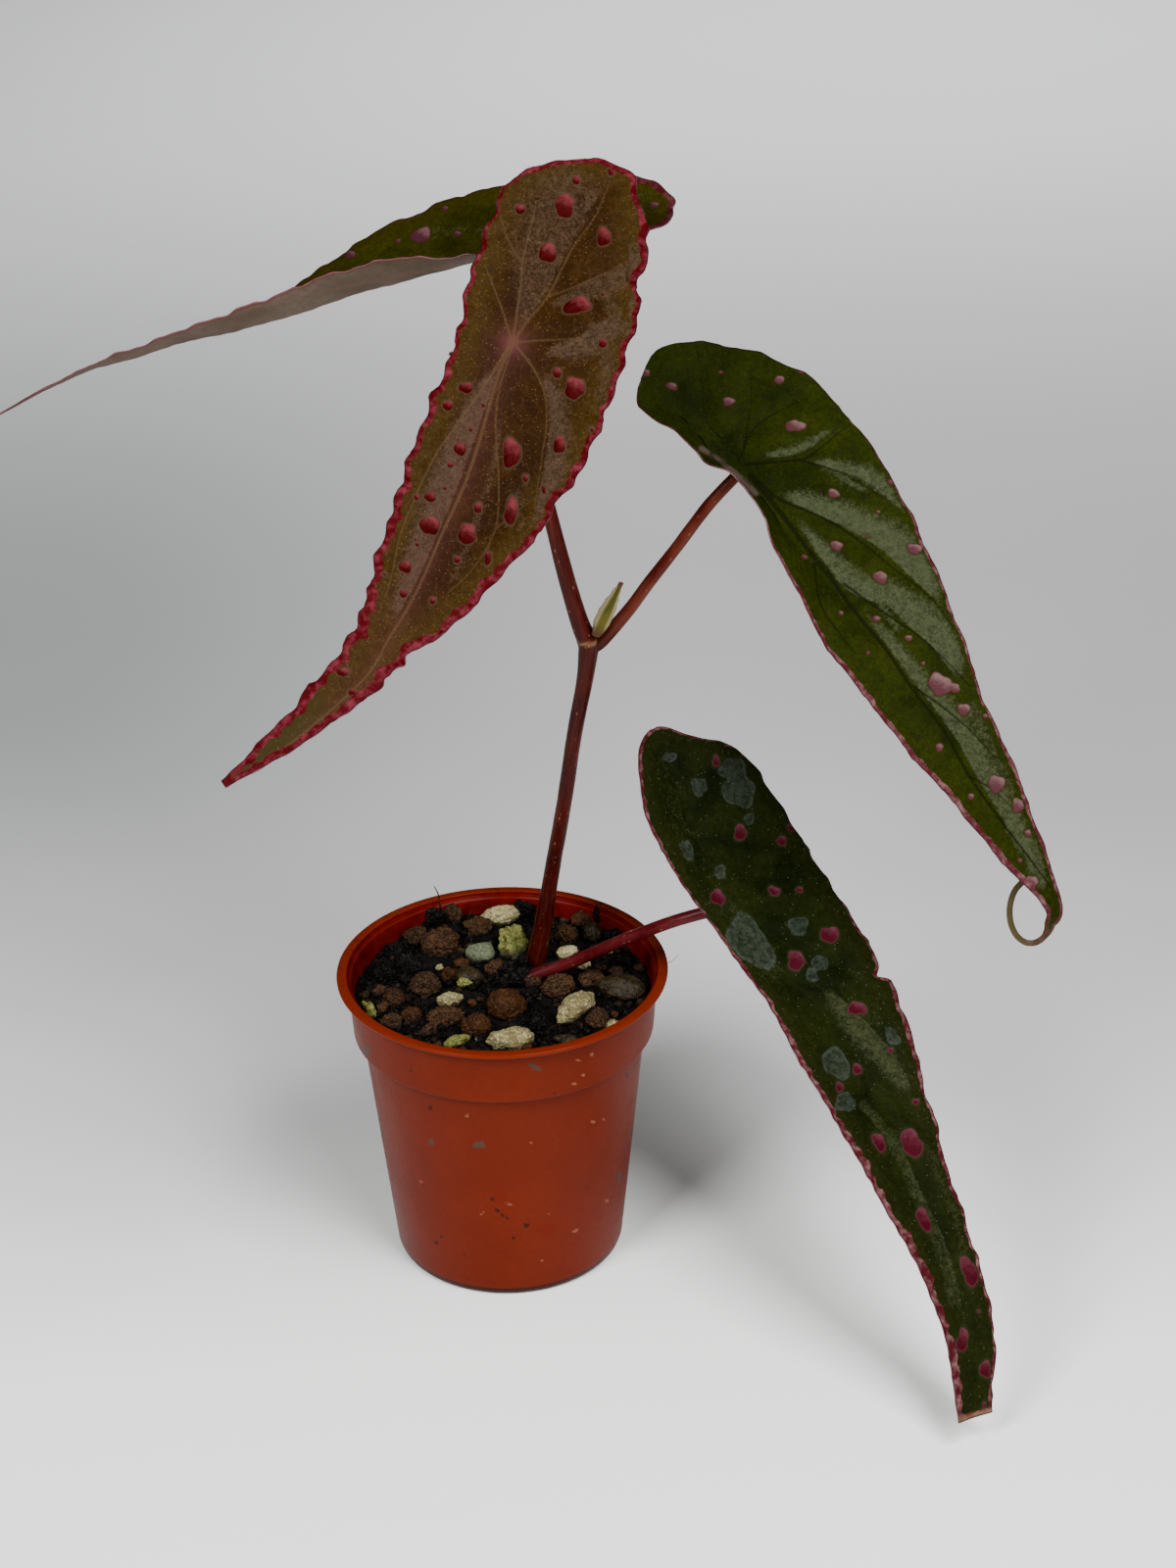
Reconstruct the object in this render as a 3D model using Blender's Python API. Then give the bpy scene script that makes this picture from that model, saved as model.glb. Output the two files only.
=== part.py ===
"""A small cane begonia with four long leaves, in a round nursery pot of stony potting mix.

Sizes below are in millimetres and are turned into metres when a mesh is made.
The origin is the middle of the pot's underside. Z is up, the first photograph
looks along +Y, and X runs to the right.
"""

import math

import bmesh
import bpy
import numpy as np
from mathutils import Matrix, Vector, noise

MM = 0.001
CLEARANCE = 0.3

# Pot: a 70 mm nursery pot with a bead, a collar and a tapered body
POT_HEIGHT = 67.0
BEAD_RADIUS = 35.0
BEAD_HEIGHT = 1.3
COLLAR_TOP_RADIUS = 32.7
COLLAR_LOW_RADIUS = 31.9
COLLAR_HEIGHT = 13.3
BODY_TOP_RADIUS = 30.1
BASE_RADIUS = 24.4
BASE_CORNER = 1.5
WALL = 0.9
FOOT_INNER_RADIUS = 17.0
HUB_RADIUS = 9.0
CHANNEL_HEIGHT = 1.2
FLOOR_THICKNESS = 1.0
POT_SEGMENTS = 48
DRAIN_HOLES = 6
DRAIN_RADIUS = 2.0
DRAIN_CIRCLE = 13.0

# Potting mix: a loose gritty fill below the bead
MIX_LEVEL = 61.3
MIX_SLOPE = 0.055
MIX_RELIEF = 0.7
MIX_RINGS = 9
MIX_SEGMENTS = 40

# Cane and leaf stalks: points along each one with its radius there
STEM = [
    (7.0, 12.2, 52.0, 2.1), (7.3, 12.0, 61.0, 2.2), (9.3, 11.5, 72.0, 1.9),
    (11.3, 11.0, 84.5, 1.65), (14.1, 9.0, 101.5, 1.6), (16.4, 7.0, 118.0, 1.6),
    (18.5, 5.5, 130.0, 1.7), (19.4, 4.2, 137.5, 2.0), (19.5, 4.0, 140.5, 2.2),
    (18.4, 4.0, 144.5, 1.8), (16.2, 4.3, 154.5, 1.6), (13.3, 5.0, 168.5, 1.35),
    (10.5, 5.6, 179.5, 1.35), (8.5, 5.9, 187.0, 1.7), (7.9, 6.0, 189.4, 1.7),
]
STALK_LOW = [
    (1.5, 7.6, 57.4, 1.5), (3.6, 6.9, 59.8, 1.5), (6.7, 6.0, 62.0, 1.4),
    (15.1, 3.0, 66.6, 1.35), (26.4, -2.0, 74.2, 1.3), (36.5, -5.8, 80.4, 1.3),
]
STALK_RIGHT = [
    (21.9, 3.9, 141.0, 1.45), (24.6, 3.6, 143.8, 1.35), (28.2, 3.7, 148.0, 1.3),
    (32.0, 4.2, 153.2, 1.25), (38.0, 5.2, 160.8, 1.2), (44.2, 6.4, 168.8, 1.2),
]
STALK_FRONT = [
    (7.9, 3.6, 188.8, 1.2), (7.6, 0.6, 191.4, 1.2), (7.0, -4.5, 198.0, 1.15),
    (6.4, -9.5, 205.0, 1.15),
]
STALK_REAR = [
    (8.3, 7.1, 190.2, 1.2), (8.8, 9.8, 198.0, 1.2), (9.9, 14.0, 207.0, 1.15),
]
STALK_SIDES = 10
STALK_SEAT = 3.5

# Stipules: points with the half width there; the thickness is a share of it
STIPULE_AXIL = [
    (20.9, 1.8, 143.0, 0.8), (21.9, 1.6, 145.6, 1.4), (23.4, 1.4, 148.8, 1.6),
    (24.8, 1.2, 152.0, 1.2), (26.0, 1.0, 154.8, 0.4),
]
STIPULE_TIP = [
    (6.2, 6.0, 190.3, 0.8), (3.4, 6.0, 193.2, 1.5), (-0.2, 6.0, 196.8, 1.7),
    (-3.6, 6.0, 200.0, 1.2), (-6.4, 6.0, 202.6, 0.4),
]
STIPULE_FLATNESS = 0.45

# Leaves: the middle vein's points run from the round end to the tail.
# Half widths and rises are at even steps along the vein, the rises in degrees.
LEAF_THICKNESS = 0.6
ROUND_END = 0.05
LEAF_FRONT = {
    "vein": [(21, 5, 240.5), (12.5, -5, 225.5), (5, -16, 210.5), (-2.5, -27, 194.5),
             (-9, -38.5, 179.5), (-18, -50, 165.5), (-33, -59.5, 156), (-50, -66, 147)],
    "left": [7.5, 12.5, 12, 9.5, 10, 10.5, 10, 8, 6, 3.5, 0.8],
    "right": [11, 20, 22, 23, 21, 16, 10, 4.5, 2.5, 2, 0.8],
    "left_rise": [12], "right_rise": [12],
    "facing": (0.0, -0.8, 0.6),
    "wave_pitch": 4.6, "wave_lift": 0.7, "scallop": 0.5,
    "rows": 96, "across": 3, "stalk_at": (0.27, 0.0),
}
LEAF_REAR = {
    "vein": [(38, 18, 226.5), (18.5, 18, 221.5), (-1, 18, 217), (-20.5, 18, 212),
             (-40, 18, 206), (-59.5, 18, 201.5), (-79, 18, 196), (-97, 18, 187.5)],
    "left": [4, 16, 20.5, 20, 18, 15, 11.5, 8.5, 6, 3.5, 0.8],
    "right": [3, 9, 12, 13, 12.5, 11.5, 10, 8.5, 6.5, 4, 0.8],
    "left_rise": [45, 28, 22, 22, 20, 14, 8, 3, -2, -6, -6],
    "right_rise": [0, -4, 10, 26, 41, 45, 43, 36, 30, 22, 20],
    "facing": (0.0, 0.0, 1.0),
    "wave_pitch": 9.0, "wave_lift": 0.25, "scallop": 0.2,
    "rows": 64, "across": 2, "stalk_at": (0.2, 0.0),
}
LEAF_RIGHT = {
    "vein": [(30.5, 18, 190.5), (44, 10, 180), (56, 0, 170), (67, -10.5, 158),
             (78, -20.5, 146.5), (88.5, -29.5, 133.5), (98.5, -37, 119),
             (108.3, -42, 103)],
    "left": [1.5, 4.5, 6, 6.5, 8, 9.5, 9, 8.5, 6.5, 5, 2.2],
    "right": [11, 22, 25, 24.5, 22, 18.5, 14.5, 10, 8, 5, 2],
    "left_rise": [30, 50, 68, 60, 30, 10, 0, 0, 0, 0, 0], "right_rise": [0],
    "facing": (0.1, -0.8, 0.6),
    "wave_pitch": 6.5, "wave_lift": 0.2, "scallop": 0.2,
    "rows": 88, "across": 2, "stalk_at": (0.2, 0.1),
}
LEAF_LOW = {
    "vein": [(33.5, 14, 114.5), (40.5, 4, 95.5), (49.5, -12, 82.5), (60.5, -27.5, 70.5),
             (71.5, -42.5, 58), (80.5, -57.5, 43.5), (87.5, -70, 26), (91, -80, 6.5)],
    "left": [5, 9.5, 9, 6.5, 5.5, 7.5, 8, 7, 4.5, 3, 3.5],
    "right": [6, 19.5, 22.5, 22.5, 21.5, 18.5, 13.5, 10, 8.5, 7.5, 3.5],
    "left_rise": [10], "right_rise": [6],
    "facing": (0.45, -0.7, 0.5),
    "wave_pitch": 7.5, "wave_lift": 0.3, "scallop": 0.3,
    "rows": 72, "across": 2, "stalk_at": (0.25, 0.0),
}
# The right leaf's tail ends in a thread that curls round this centre
CURL_CENTRE = (104.2, 98.2)
CURL_RADII = (4.1, 6.4)
THREAD_WIDTH = 0.6
THREAD_TAPER = 0.03
CURL_DEPTHS = (-42.0, -36.0)
CURL_START = 20.0
CURL_TURN = 245.0
CURL_POINTS = 8

# Loose stones: name, kind, place (x, y), width, depth, height and turn in degrees
STONES = [
    ("pumice_back", "pumice", 0.0, 27.6, 9.0, 5.0, 4.4, 8),
    ("zeolite_green", "zeolite", -4.8, 13.5, 6.8, 5.6, 5.2, 20),
    ("lava_round", "lava", -13.2, 16.6, 8.0, 7.2, 6.6, 0),
    ("lava_behind_stem", "lava", 14.3, 18.8, 4.8, 4.8, 5.0, 30),
    ("pebble_cracked", "pebble", 19.7, 19.4, 4.2, 4.6, 5.0, 10),
    ("pumice_chip", "pumice", 14.0, 12.8, 5.0, 3.4, 2.8, 15),
    ("lava_middle", "lava", 11.7, -0.9, 7.0, 5.6, 5.4, 0),
    ("pebble_large", "pebble", 25.0, -2.6, 10.4, 7.0, 5.6, -8),
    ("pumice_long", "pumice", 15.0, -9.0, 10.6, 5.6, 5.0, 52),
    ("lava_by_pumice", "lava", 19.8, -13.4, 4.8, 4.8, 4.8, 0),
    ("bark_front", "bark", 7.4, -11.6, 5.2, 9.0, 4.0, -8),
    ("lava_golden", "lava_gold", 0.6, -7.6, 8.0, 7.2, 6.6, 0),
    ("pumice_front", "pumice", 1.3, -19.6, 9.8, 5.4, 5.0, 6),
    ("lava_front", "lava_gold", -5.8, -14.8, 6.2, 5.2, 5.6, 0),
    ("lava_purple", "lava", -12.2, -10.7, 7.4, 5.0, 4.8, 10),
    ("pumice_left", "pumice", -11.4, -3.6, 5.6, 3.8, 3.2, 12),
    ("pebble_tan", "pebble", -7.1, 3.6, 6.0, 5.2, 4.8, 0),
    ("lava_left", "lava", -16.2, 1.2, 6.4, 5.6, 5.6, 0),
    ("lava_far_left", "lava_gold", -23.0, -3.2, 5.0, 5.0, 4.8, 0),
    ("bark_heap", "bark", -26.2, 6.8, 5.2, 6.0, 4.6, 25),
    ("lava_centre", "lava", -1.2, 7.2, 4.8, 4.2, 3.8, 0),
]
STONE_SHOWING = 0.22
LEAF_SCRAP = (2.4, 15.8, 6.2, 2.4, 7.6)
SCRAP_LEAN = -35.0

COLOURS = {
    "terracotta plastic": ((0.50, 0.085, 0.030), 0.38),
    "potting mix": ((0.020, 0.013, 0.009), 0.85),
    "red cane": ((0.130, 0.018, 0.016), 0.42),
    "leaf front": ((0.110, 0.075, 0.022), 0.40),
    "leaf green": ((0.045, 0.070, 0.018), 0.38),
    "leaf dark": ((0.030, 0.050, 0.026), 0.50),
    "stipule": ((0.40, 0.42, 0.16), 0.55),
    "pumice": ((0.62, 0.57, 0.45), 0.85),
    "zeolite": ((0.36, 0.44, 0.34), 0.70),
    "lava": ((0.110, 0.052, 0.036), 0.85),
    "lava_gold": ((0.150, 0.075, 0.030), 0.80),
    "pebble": ((0.170, 0.130, 0.095), 0.65),
    "bark": ((0.020, 0.015, 0.012), 0.80),
    "leaf scrap": ((0.36, 0.38, 0.10), 0.60),
}


def clear_scene():
    for item in list(bpy.data.objects):
        bpy.data.objects.remove(item, do_unlink=True)


def material(name):
    """One Principled material for each look."""
    found = bpy.data.materials.get(name)
    if found:
        return found
    colour, roughness = COLOURS[name]
    made = bpy.data.materials.new(name)
    made.use_nodes = True
    made.diffuse_color = (*colour, 1.0)
    shader = made.node_tree.nodes["Principled BSDF"]
    shader.inputs["Base Color"].default_value = (*colour, 1.0)
    shader.inputs["Roughness"].default_value = roughness
    shader.inputs["Metallic"].default_value = 0.0
    return made


def add_object(name, bm, look, parent=None, smooth_angle=40.0):
    """Turn a mesh in millimetres into a named object in metres."""
    bmesh.ops.transform(bm, matrix=Matrix.Scale(MM, 4), verts=bm.verts)
    mesh = bpy.data.meshes.new(name)
    bm.to_mesh(mesh)
    bm.free()
    mesh.shade_smooth()
    mesh.set_sharp_from_angle(angle=math.radians(smooth_angle))
    mesh.materials.append(material(look))
    item = bpy.data.objects.new(name, mesh)
    bpy.context.scene.collection.objects.link(item)
    item.parent = parent
    return item


def hide_cutter(item):
    item.hide_render = True
    item.display_type = "WIRE"


def cut(item, cutter):
    modifier = item.modifiers.new("cut", "BOOLEAN")
    modifier.operation = "DIFFERENCE"
    modifier.solver = "EXACT"
    modifier.object = cutter


def turned(profile, segments):
    """Spin a closed profile of (radius, height) pairs round Z; it runs down the outside."""
    bm = bmesh.new()
    verts = [bm.verts.new((radius, 0.0, height)) for radius, height in profile]
    edges = [bm.edges.new(pair) for pair in zip(verts, verts[1:])]
    bmesh.ops.spin(
        bm, geom=verts + edges, cent=(0, 0, 0), axis=(0, 0, 1),
        angle=math.tau, steps=segments, use_merge=True)
    bmesh.ops.remove_doubles(bm, verts=bm.verts, dist=0.001)
    bmesh.ops.recalc_face_normals(bm, faces=bm.faces)
    return bm


def body_radius(height):
    share = height / (POT_HEIGHT - COLLAR_HEIGHT)
    return BASE_RADIUS + (BODY_TOP_RADIUS - BASE_RADIUS) * share


def collar_radius(height):
    share = (POT_HEIGHT - height) / COLLAR_HEIGHT
    return COLLAR_TOP_RADIUS + (COLLAR_LOW_RADIUS - COLLAR_TOP_RADIUS) * share


def pot_outside():
    """The pot's outer side, from the top of the bead down to the middle of the underside."""
    top = POT_HEIGHT
    collar_low = top - COLLAR_HEIGHT
    return [
        (BEAD_RADIUS - 1.6, top), (BEAD_RADIUS - 0.6, top - 0.05),
        (BEAD_RADIUS - 0.1, top - 0.3), (BEAD_RADIUS, top - 0.6),
        (BEAD_RADIUS - 0.2, top - BEAD_HEIGHT + 0.2),
        (BEAD_RADIUS - 0.7, top - BEAD_HEIGHT),
        (COLLAR_TOP_RADIUS, top - BEAD_HEIGHT - 0.4),
        (COLLAR_LOW_RADIUS, collar_low + 0.4), (COLLAR_LOW_RADIUS - 0.4, collar_low),
        (BODY_TOP_RADIUS + 0.3, collar_low - 0.5), (BODY_TOP_RADIUS, collar_low - 1.0),
        (body_radius(BASE_CORNER), BASE_CORNER),
        (BASE_RADIUS - 0.4, 0.4), (BASE_RADIUS - BASE_CORNER, 0.0),
        (FOOT_INNER_RADIUS, 0.0), (FOOT_INNER_RADIUS - 0.4, CHANNEL_HEIGHT),
        (HUB_RADIUS + 0.4, CHANNEL_HEIGHT), (HUB_RADIUS, 0.0), (0.0, 0.0),
    ]


def pot_inside(gap=0.0):
    """The pot's inner side from the floor's middle up to the rim, drawn in by a gap."""
    raised = CHANNEL_HEIGHT + FLOOR_THICKNESS + gap
    collar_low = POT_HEIGHT - COLLAR_HEIGHT
    inset = WALL + gap
    return [
        (0.0, raised), (FOOT_INNER_RADIUS, raised),
        (body_radius(raised) - inset - 0.6, raised),
        (body_radius(raised + 0.6) - inset, raised + 0.6),
        (BODY_TOP_RADIUS - inset, collar_low - 0.6),
        (COLLAR_LOW_RADIUS - inset, collar_low + 0.8),
        (collar_radius(POT_HEIGHT - 3.0) - inset, POT_HEIGHT - 3.0),
    ]


def make_drain_cutter():
    bm = bmesh.new()
    for hole in range(DRAIN_HOLES):
        angle = math.tau * (hole + 0.5) / DRAIN_HOLES
        place = Matrix.Translation((
            DRAIN_CIRCLE * math.cos(angle), DRAIN_CIRCLE * math.sin(angle), 2.0))
        bmesh.ops.create_cone(
            bm, cap_ends=True, segments=16, radius1=DRAIN_RADIUS, radius2=DRAIN_RADIUS,
            depth=6.0, matrix=place)
    cutter = add_object("drain_cutter", bm, "terracotta plastic")
    hide_cutter(cutter)
    return cutter


def make_pot(parent):
    rim = [(COLLAR_TOP_RADIUS - WALL, POT_HEIGHT - 2.0), (BEAD_RADIUS - 2.1, POT_HEIGHT - 0.3)]
    profile = pot_outside() + pot_inside() + rim
    profile.append(profile[0])
    pot = add_object("pot", turned(profile, POT_SEGMENTS), "terracotta plastic", parent)
    cut(pot, make_drain_cutter())


def along(points, count):
    """Evenly spaced points on a smooth curve through the given ones, with their lengths."""
    data = np.array(points, dtype=float)
    last = len(data) - 1
    position = np.linspace(0.0, last, 400)
    index = np.minimum(position.astype(int), last - 1)
    share = (position - index)[:, None]
    before = data[np.maximum(index - 1, 0)]
    start = data[index]
    end = data[index + 1]
    after = data[np.minimum(index + 2, last)]
    curve = 0.5 * (
        2 * start + (end - before) * share
        + (2 * before - 5 * start + 4 * end - after) * share ** 2
        + (3 * start - before - 3 * end + after) * share ** 3)
    steps = np.linalg.norm(np.diff(curve[:, :3], axis=0), axis=1)
    length = np.concatenate(([0.0], np.cumsum(steps)))
    wanted = np.linspace(0.0, length[-1], count)
    even = [np.interp(wanted, length, curve[:, axis]) for axis in range(data.shape[1])]
    return np.stack(even, axis=1), wanted


def unit(vectors):
    return vectors / np.linalg.norm(vectors, axis=-1, keepdims=True)


def curl_points():
    """The thread at the end of the right leaf turns down, under and back up behind it."""
    points = []
    for step in range(1, CURL_POINTS + 1):
        share = step / CURL_POINTS
        angle = math.radians(CURL_START - CURL_TURN * share)
        depth = CURL_DEPTHS[0] + (CURL_DEPTHS[1] - CURL_DEPTHS[0]) * share
        points.append((
            CURL_CENTRE[0] + CURL_RADII[0] * math.cos(angle), depth,
            CURL_CENTRE[1] + CURL_RADII[1] * math.sin(angle)))
    return points


def vein_curve(leaf, samples=400):
    """Points, directions and upper-face normals along a leaf's middle vein."""
    points, length = along(leaf["vein"] + leaf.get("thread", []), samples)
    direction = unit(np.gradient(points, axis=0))
    facing = np.array(leaf["facing"])
    normal = unit(facing - direction * (direction @ facing)[:, None])
    blade_length = length[-1]
    if leaf.get("thread"):
        blade_length = along(leaf["vein"], samples)[1][-1]
    return points, direction, normal, length, blade_length


def at_station(values, share):
    """A half width or a rise, from its even stations along the vein."""
    if len(values) == 1:
        return np.full_like(share, values[0], dtype=float)
    position = np.clip(share, 0.0, 1.0) * (len(values) - 1)
    index = np.minimum(position.astype(int), len(values) - 2)
    blend = position - index
    blend = blend * blend * (3 - 2 * blend) * 0.5 + blend * 0.5
    data = np.array(values, dtype=float)
    return data[index] * (1 - blend) + data[index + 1] * blend


def edge_wave(leaf, length, side):
    """An uneven wave along the margin, from -1 to 1."""
    turn = math.tau * length / leaf["wave_pitch"]
    return 0.65 * np.sin(turn + 1.3 * side) + 0.35 * np.sin(turn * 0.61 + 2.1 * side)


def blade_points(leaf, rows, columns):
    """The middle surface of a leaf blade as rows across the vein."""
    points, direction, normal, length, blade_length = vein_curve(leaf)
    place = np.linspace(0.0, 1.0, rows + 1) ** 1.2 * length[-1]
    point, forward, up = (
        np.stack([np.interp(place, length, data[:, axis]) for axis in range(3)], axis=1)
        for data in (points, direction, normal))
    forward, up = unit(forward), unit(up)
    aside = np.cross(forward, up)
    share = place / blade_length
    closing = np.sqrt(1 - (1 - np.minimum(share / ROUND_END, 1.0)) ** 2)
    grid = np.zeros((rows + 1, columns + 1, 3))
    for column in range(columns + 1):
        across = 2.0 * column / columns - 1.0
        side = 1 if across < 0 else -1
        name = "left" if across < 0 else "right"
        rise = np.radians(at_station(leaf[name + "_rise"], share))
        wave = edge_wave(leaf, place, side)
        width = at_station(leaf[name], share)
        thread = np.clip((share - 1.0) / THREAD_TAPER, 0.0, 1.0)
        width = width * (1 - thread) + THREAD_WIDTH * thread
        fade = np.clip(width / 6.0, 0.0, 1.0)
        reach = np.maximum((width + leaf["scallop"] * wave * fade) * closing, 0.6)
        lift = leaf["wave_lift"] * wave * fade * closing * abs(across) ** 3
        out = side * aside * np.cos(rise)[:, None] + up * np.sin(rise)[:, None]
        grid[:, column] = point + out * (reach * abs(across))[:, None] + up * lift[:, None]
    return grid


def make_leaf(name, leaf, look, parent):
    """Bend a flat grid to the blade, split it into triangles and thicken it."""
    rows, columns = leaf["rows"], 2 * leaf["across"]
    grid = blade_points(leaf, rows, columns)
    bm = bmesh.new()
    bmesh.ops.create_grid(bm, x_segments=rows, y_segments=columns, size=1.0)
    for vert in bm.verts:
        row = round((vert.co.x + 1.0) / 2.0 * rows)
        column = round((vert.co.y + 1.0) / 2.0 * columns)
        vert.co = grid[row, column]
    bmesh.ops.triangulate(bm, faces=bm.faces, quad_method="FIXED")
    item = add_object(name, bm, look, parent, 60.0)
    thicken = item.modifiers.new("thickness", "SOLIDIFY")
    thicken.thickness = LEAF_THICKNESS * MM
    thicken.offset = 0.0
    return item


def stalk_seat(leaf):
    """Where a stalk meets the underside of its leaf, and the way the blade faces there."""
    share, across = leaf["stalk_at"]
    points, direction, normal, length, blade_length = vein_curve(leaf)
    place = share * blade_length
    index = int(np.searchsorted(length, place))
    aside = np.cross(direction[index], normal[index])
    width = at_station(leaf["right"], np.array([share]))[0]
    spot = points[index] - aside * width * across
    underside = spot - normal[index] * (LEAF_THICKNESS / 2 + CLEARANCE)
    return underside, normal[index]


def ring_axes(direction, hint):
    """Two axes square to a tube's direction, turned as little as possible from a hint."""
    first = hint - direction * hint.dot(direction)
    first.normalize()
    return first, direction.cross(first)


def tube(path, flatness=1.0, grow=0.0, end_normal=None, hint=(0.0, -1.0, 0.0)):
    """Extrude a ring along a path of (x, y, z, radius) and cap both ends."""
    data, _ = along(path, 2 * len(path))
    points = [Vector(row[:3]) for row in data]
    directions = [
        (points[min(i + 1, len(points) - 1)] - points[max(i - 1, 0)]).normalized()
        for i in range(len(points))]
    if end_normal is not None:
        directions[-1] = Vector(end_normal).normalized()
    points[0] -= directions[0] * grow
    bm = bmesh.new()
    made = bmesh.ops.create_circle(bm, cap_ends=False, segments=STALK_SIDES, radius=1.0)
    ring = made["verts"]
    shape = [(vert.co.x, vert.co.y) for vert in ring]
    edges = list({edge for vert in ring for edge in vert.link_edges})
    first_edges = edges
    axis = Vector(hint)
    for index, (point, direction) in enumerate(zip(points, directions)):
        if index:
            made = bmesh.ops.extrude_edge_only(bm, edges=edges)["geom"]
            ring = next_ring(ring, made)
            edges = [item for item in made if isinstance(item, bmesh.types.BMEdge)
                     and all(vert in ring for vert in item.verts)]
        axis, other = ring_axes(direction, axis)
        radius = data[index][3] + grow
        for vert, (along_other, along_axis) in zip(ring, shape):
            vert.co = point + (other * along_other + axis * along_axis * flatness) * radius
    bmesh.ops.contextual_create(bm, geom=first_edges)
    bmesh.ops.contextual_create(bm, geom=edges)
    bmesh.ops.recalc_face_normals(bm, faces=bm.faces)
    return bm


def next_ring(ring, made):
    """The new vertex above each vertex of the last ring, in the same order."""
    fresh = {item for item in made if isinstance(item, bmesh.types.BMVert)}
    above = []
    for vert in ring:
        for edge in vert.link_edges:
            other = edge.other_vert(vert)
            if other in fresh:
                above.append(other)
    return above


def stalk_path(path, leaf):
    """A stalk's own points, then a short straight seat square to the leaf's underside."""
    underside, normal = stalk_seat(leaf)
    radius = path[-1][3]
    before = underside - normal * STALK_SEAT
    return path + [(*before, radius), (*underside, radius)], normal


def make_stalk(name, path, leaf, parent):
    full, normal = stalk_path(path, leaf)
    return add_object(name, tube(full, end_normal=normal), "red cane", parent, 50.0)


def stone_shape(bm, name, centre, size, turn, rough, grow=0.0):
    """An uneven stone: a sphere pushed in and out, stretched, turned and set in place."""
    seed = Vector((sum(map(ord, name)) * 0.37, len(name) * 1.9, 4.7))
    made = bmesh.ops.create_icosphere(bm, subdivisions=2, radius=1.0)["verts"]
    spin = Matrix.Rotation(math.radians(turn), 3, "Z")
    for vert in made:
        bump = 1.0 + rough * noise.noise(vert.co * 1.3 + seed)
        half = Vector([side / 2 for side in size])
        stretched = Vector([vert.co[i] * bump * (half[i] + grow) for i in range(3)])
        vert.co = Vector(centre) + spin @ stretched
    return made


def mix_level(y):
    """The mix lies a little higher at the back of the pot."""
    return MIX_LEVEL + MIX_SLOPE * y


def stone_centre(x, y, height):
    return (x, y, mix_level(y) + height * STONE_SHOWING)


def lean_scrap(bm, verts):
    x, y, _, _, tall = LEAF_SCRAP
    pivot = Vector(stone_centre(x, y, tall))
    lean = Matrix.Rotation(math.radians(SCRAP_LEAN), 3, "X")
    bmesh.ops.rotate(bm, verts=verts, cent=pivot, matrix=lean)


def scrap_shape(bm, grow=0.0):
    x, y, wide, thick, tall = LEAF_SCRAP
    centre = stone_centre(x, y, tall)
    verts = stone_shape(bm, "leaf_scrap", centre, (wide, thick, tall), 0.0, 0.25, grow)
    lean_scrap(bm, verts)


def make_stones(parent):
    for name, kind, x, y, wide, deep, high, turn in STONES:
        bm = bmesh.new()
        stone_shape(bm, name, stone_centre(x, y, high), (wide, deep, high), turn, 0.22)
        add_object(name, bm, kind, parent, 30.0)
    bm = bmesh.new()
    scrap_shape(bm)
    add_object("leaf_scrap", bm, "leaf scrap", parent, 30.0)


def make_mix_cutter():
    """The stones, the cane and the low stalk, each a little larger, to press into the mix."""
    parts = []
    bm = bmesh.new()
    for name, _, x, y, wide, deep, high, turn in STONES:
        centre = stone_centre(x, y, high)
        stone_shape(bm, name, centre, (wide, deep, high), turn, 0.22, CLEARANCE + 0.1)
    scrap_shape(bm, CLEARANCE + 0.1)
    parts.append(add_object("stone_cutter", bm, "potting mix"))
    parts.append(add_object("cane_cutter", tube(STEM[:4], grow=CLEARANCE), "potting mix"))
    parts.append(add_object("stalk_cutter", tube(STALK_LOW, grow=CLEARANCE), "potting mix"))
    for cutter in parts:
        hide_cutter(cutter)
    return parts


def mix_height(x, y):
    """The uneven top of the mix."""
    grit = noise.noise(Vector((x, y, 3.0)) * 0.28) + 0.5 * noise.noise(Vector((x, y, 9.0)) * 0.6)
    return mix_level(y) + MIX_RELIEF * grit


def make_mix(parent):
    """Fill the pot up to the level, with a clearance to its wall."""
    wall = [point for point in pot_inside(CLEARANCE) if point[1] < MIX_LEVEL - 2.0]
    edge = collar_radius(MIX_LEVEL) - WALL - CLEARANCE
    top = [(edge * ring / MIX_RINGS, MIX_LEVEL) for ring in range(MIX_RINGS, -1, -1)]
    bm = turned(wall + top, MIX_SEGMENTS)
    for vert in bm.verts:
        if vert.co.z > MIX_LEVEL - 0.5:
            vert.co.z = mix_height(vert.co.x, vert.co.y)
    bmesh.ops.triangulate(bm, faces=bm.faces)
    mix = add_object("potting_mix", bm, "potting mix", parent, 30.0)
    for cutter in make_mix_cutter():
        cut(mix, cutter)


def make_plant(parent):
    LEAF_RIGHT["thread"] = curl_points()
    add_object("stem", tube(STEM), "red cane", parent, 50.0)
    make_stalk("petiole_low", STALK_LOW, LEAF_LOW, parent)
    make_stalk("petiole_right", STALK_RIGHT, LEAF_RIGHT, parent)
    make_stalk("petiole_front", STALK_FRONT, LEAF_FRONT, parent)
    make_stalk("petiole_rear", STALK_REAR, LEAF_REAR, parent)
    for name, path in (("stipule_axil", STIPULE_AXIL), ("stipule_tip", STIPULE_TIP)):
        add_object(name, tube(path, flatness=STIPULE_FLATNESS), "stipule", parent, 50.0)
    make_leaf("leaf_front", LEAF_FRONT, "leaf front", parent)
    make_leaf("leaf_rear", LEAF_REAR, "leaf green", parent)
    make_leaf("leaf_right", LEAF_RIGHT, "leaf green", parent)
    make_leaf("leaf_low", LEAF_LOW, "leaf dark", parent)


def main():
    clear_scene()
    root = bpy.data.objects.new("potted_begonia", None)
    bpy.context.scene.collection.objects.link(root)
    make_pot(root)
    make_mix(root)
    make_stones(root)
    make_plant(root)


main()
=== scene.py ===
import math

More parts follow.
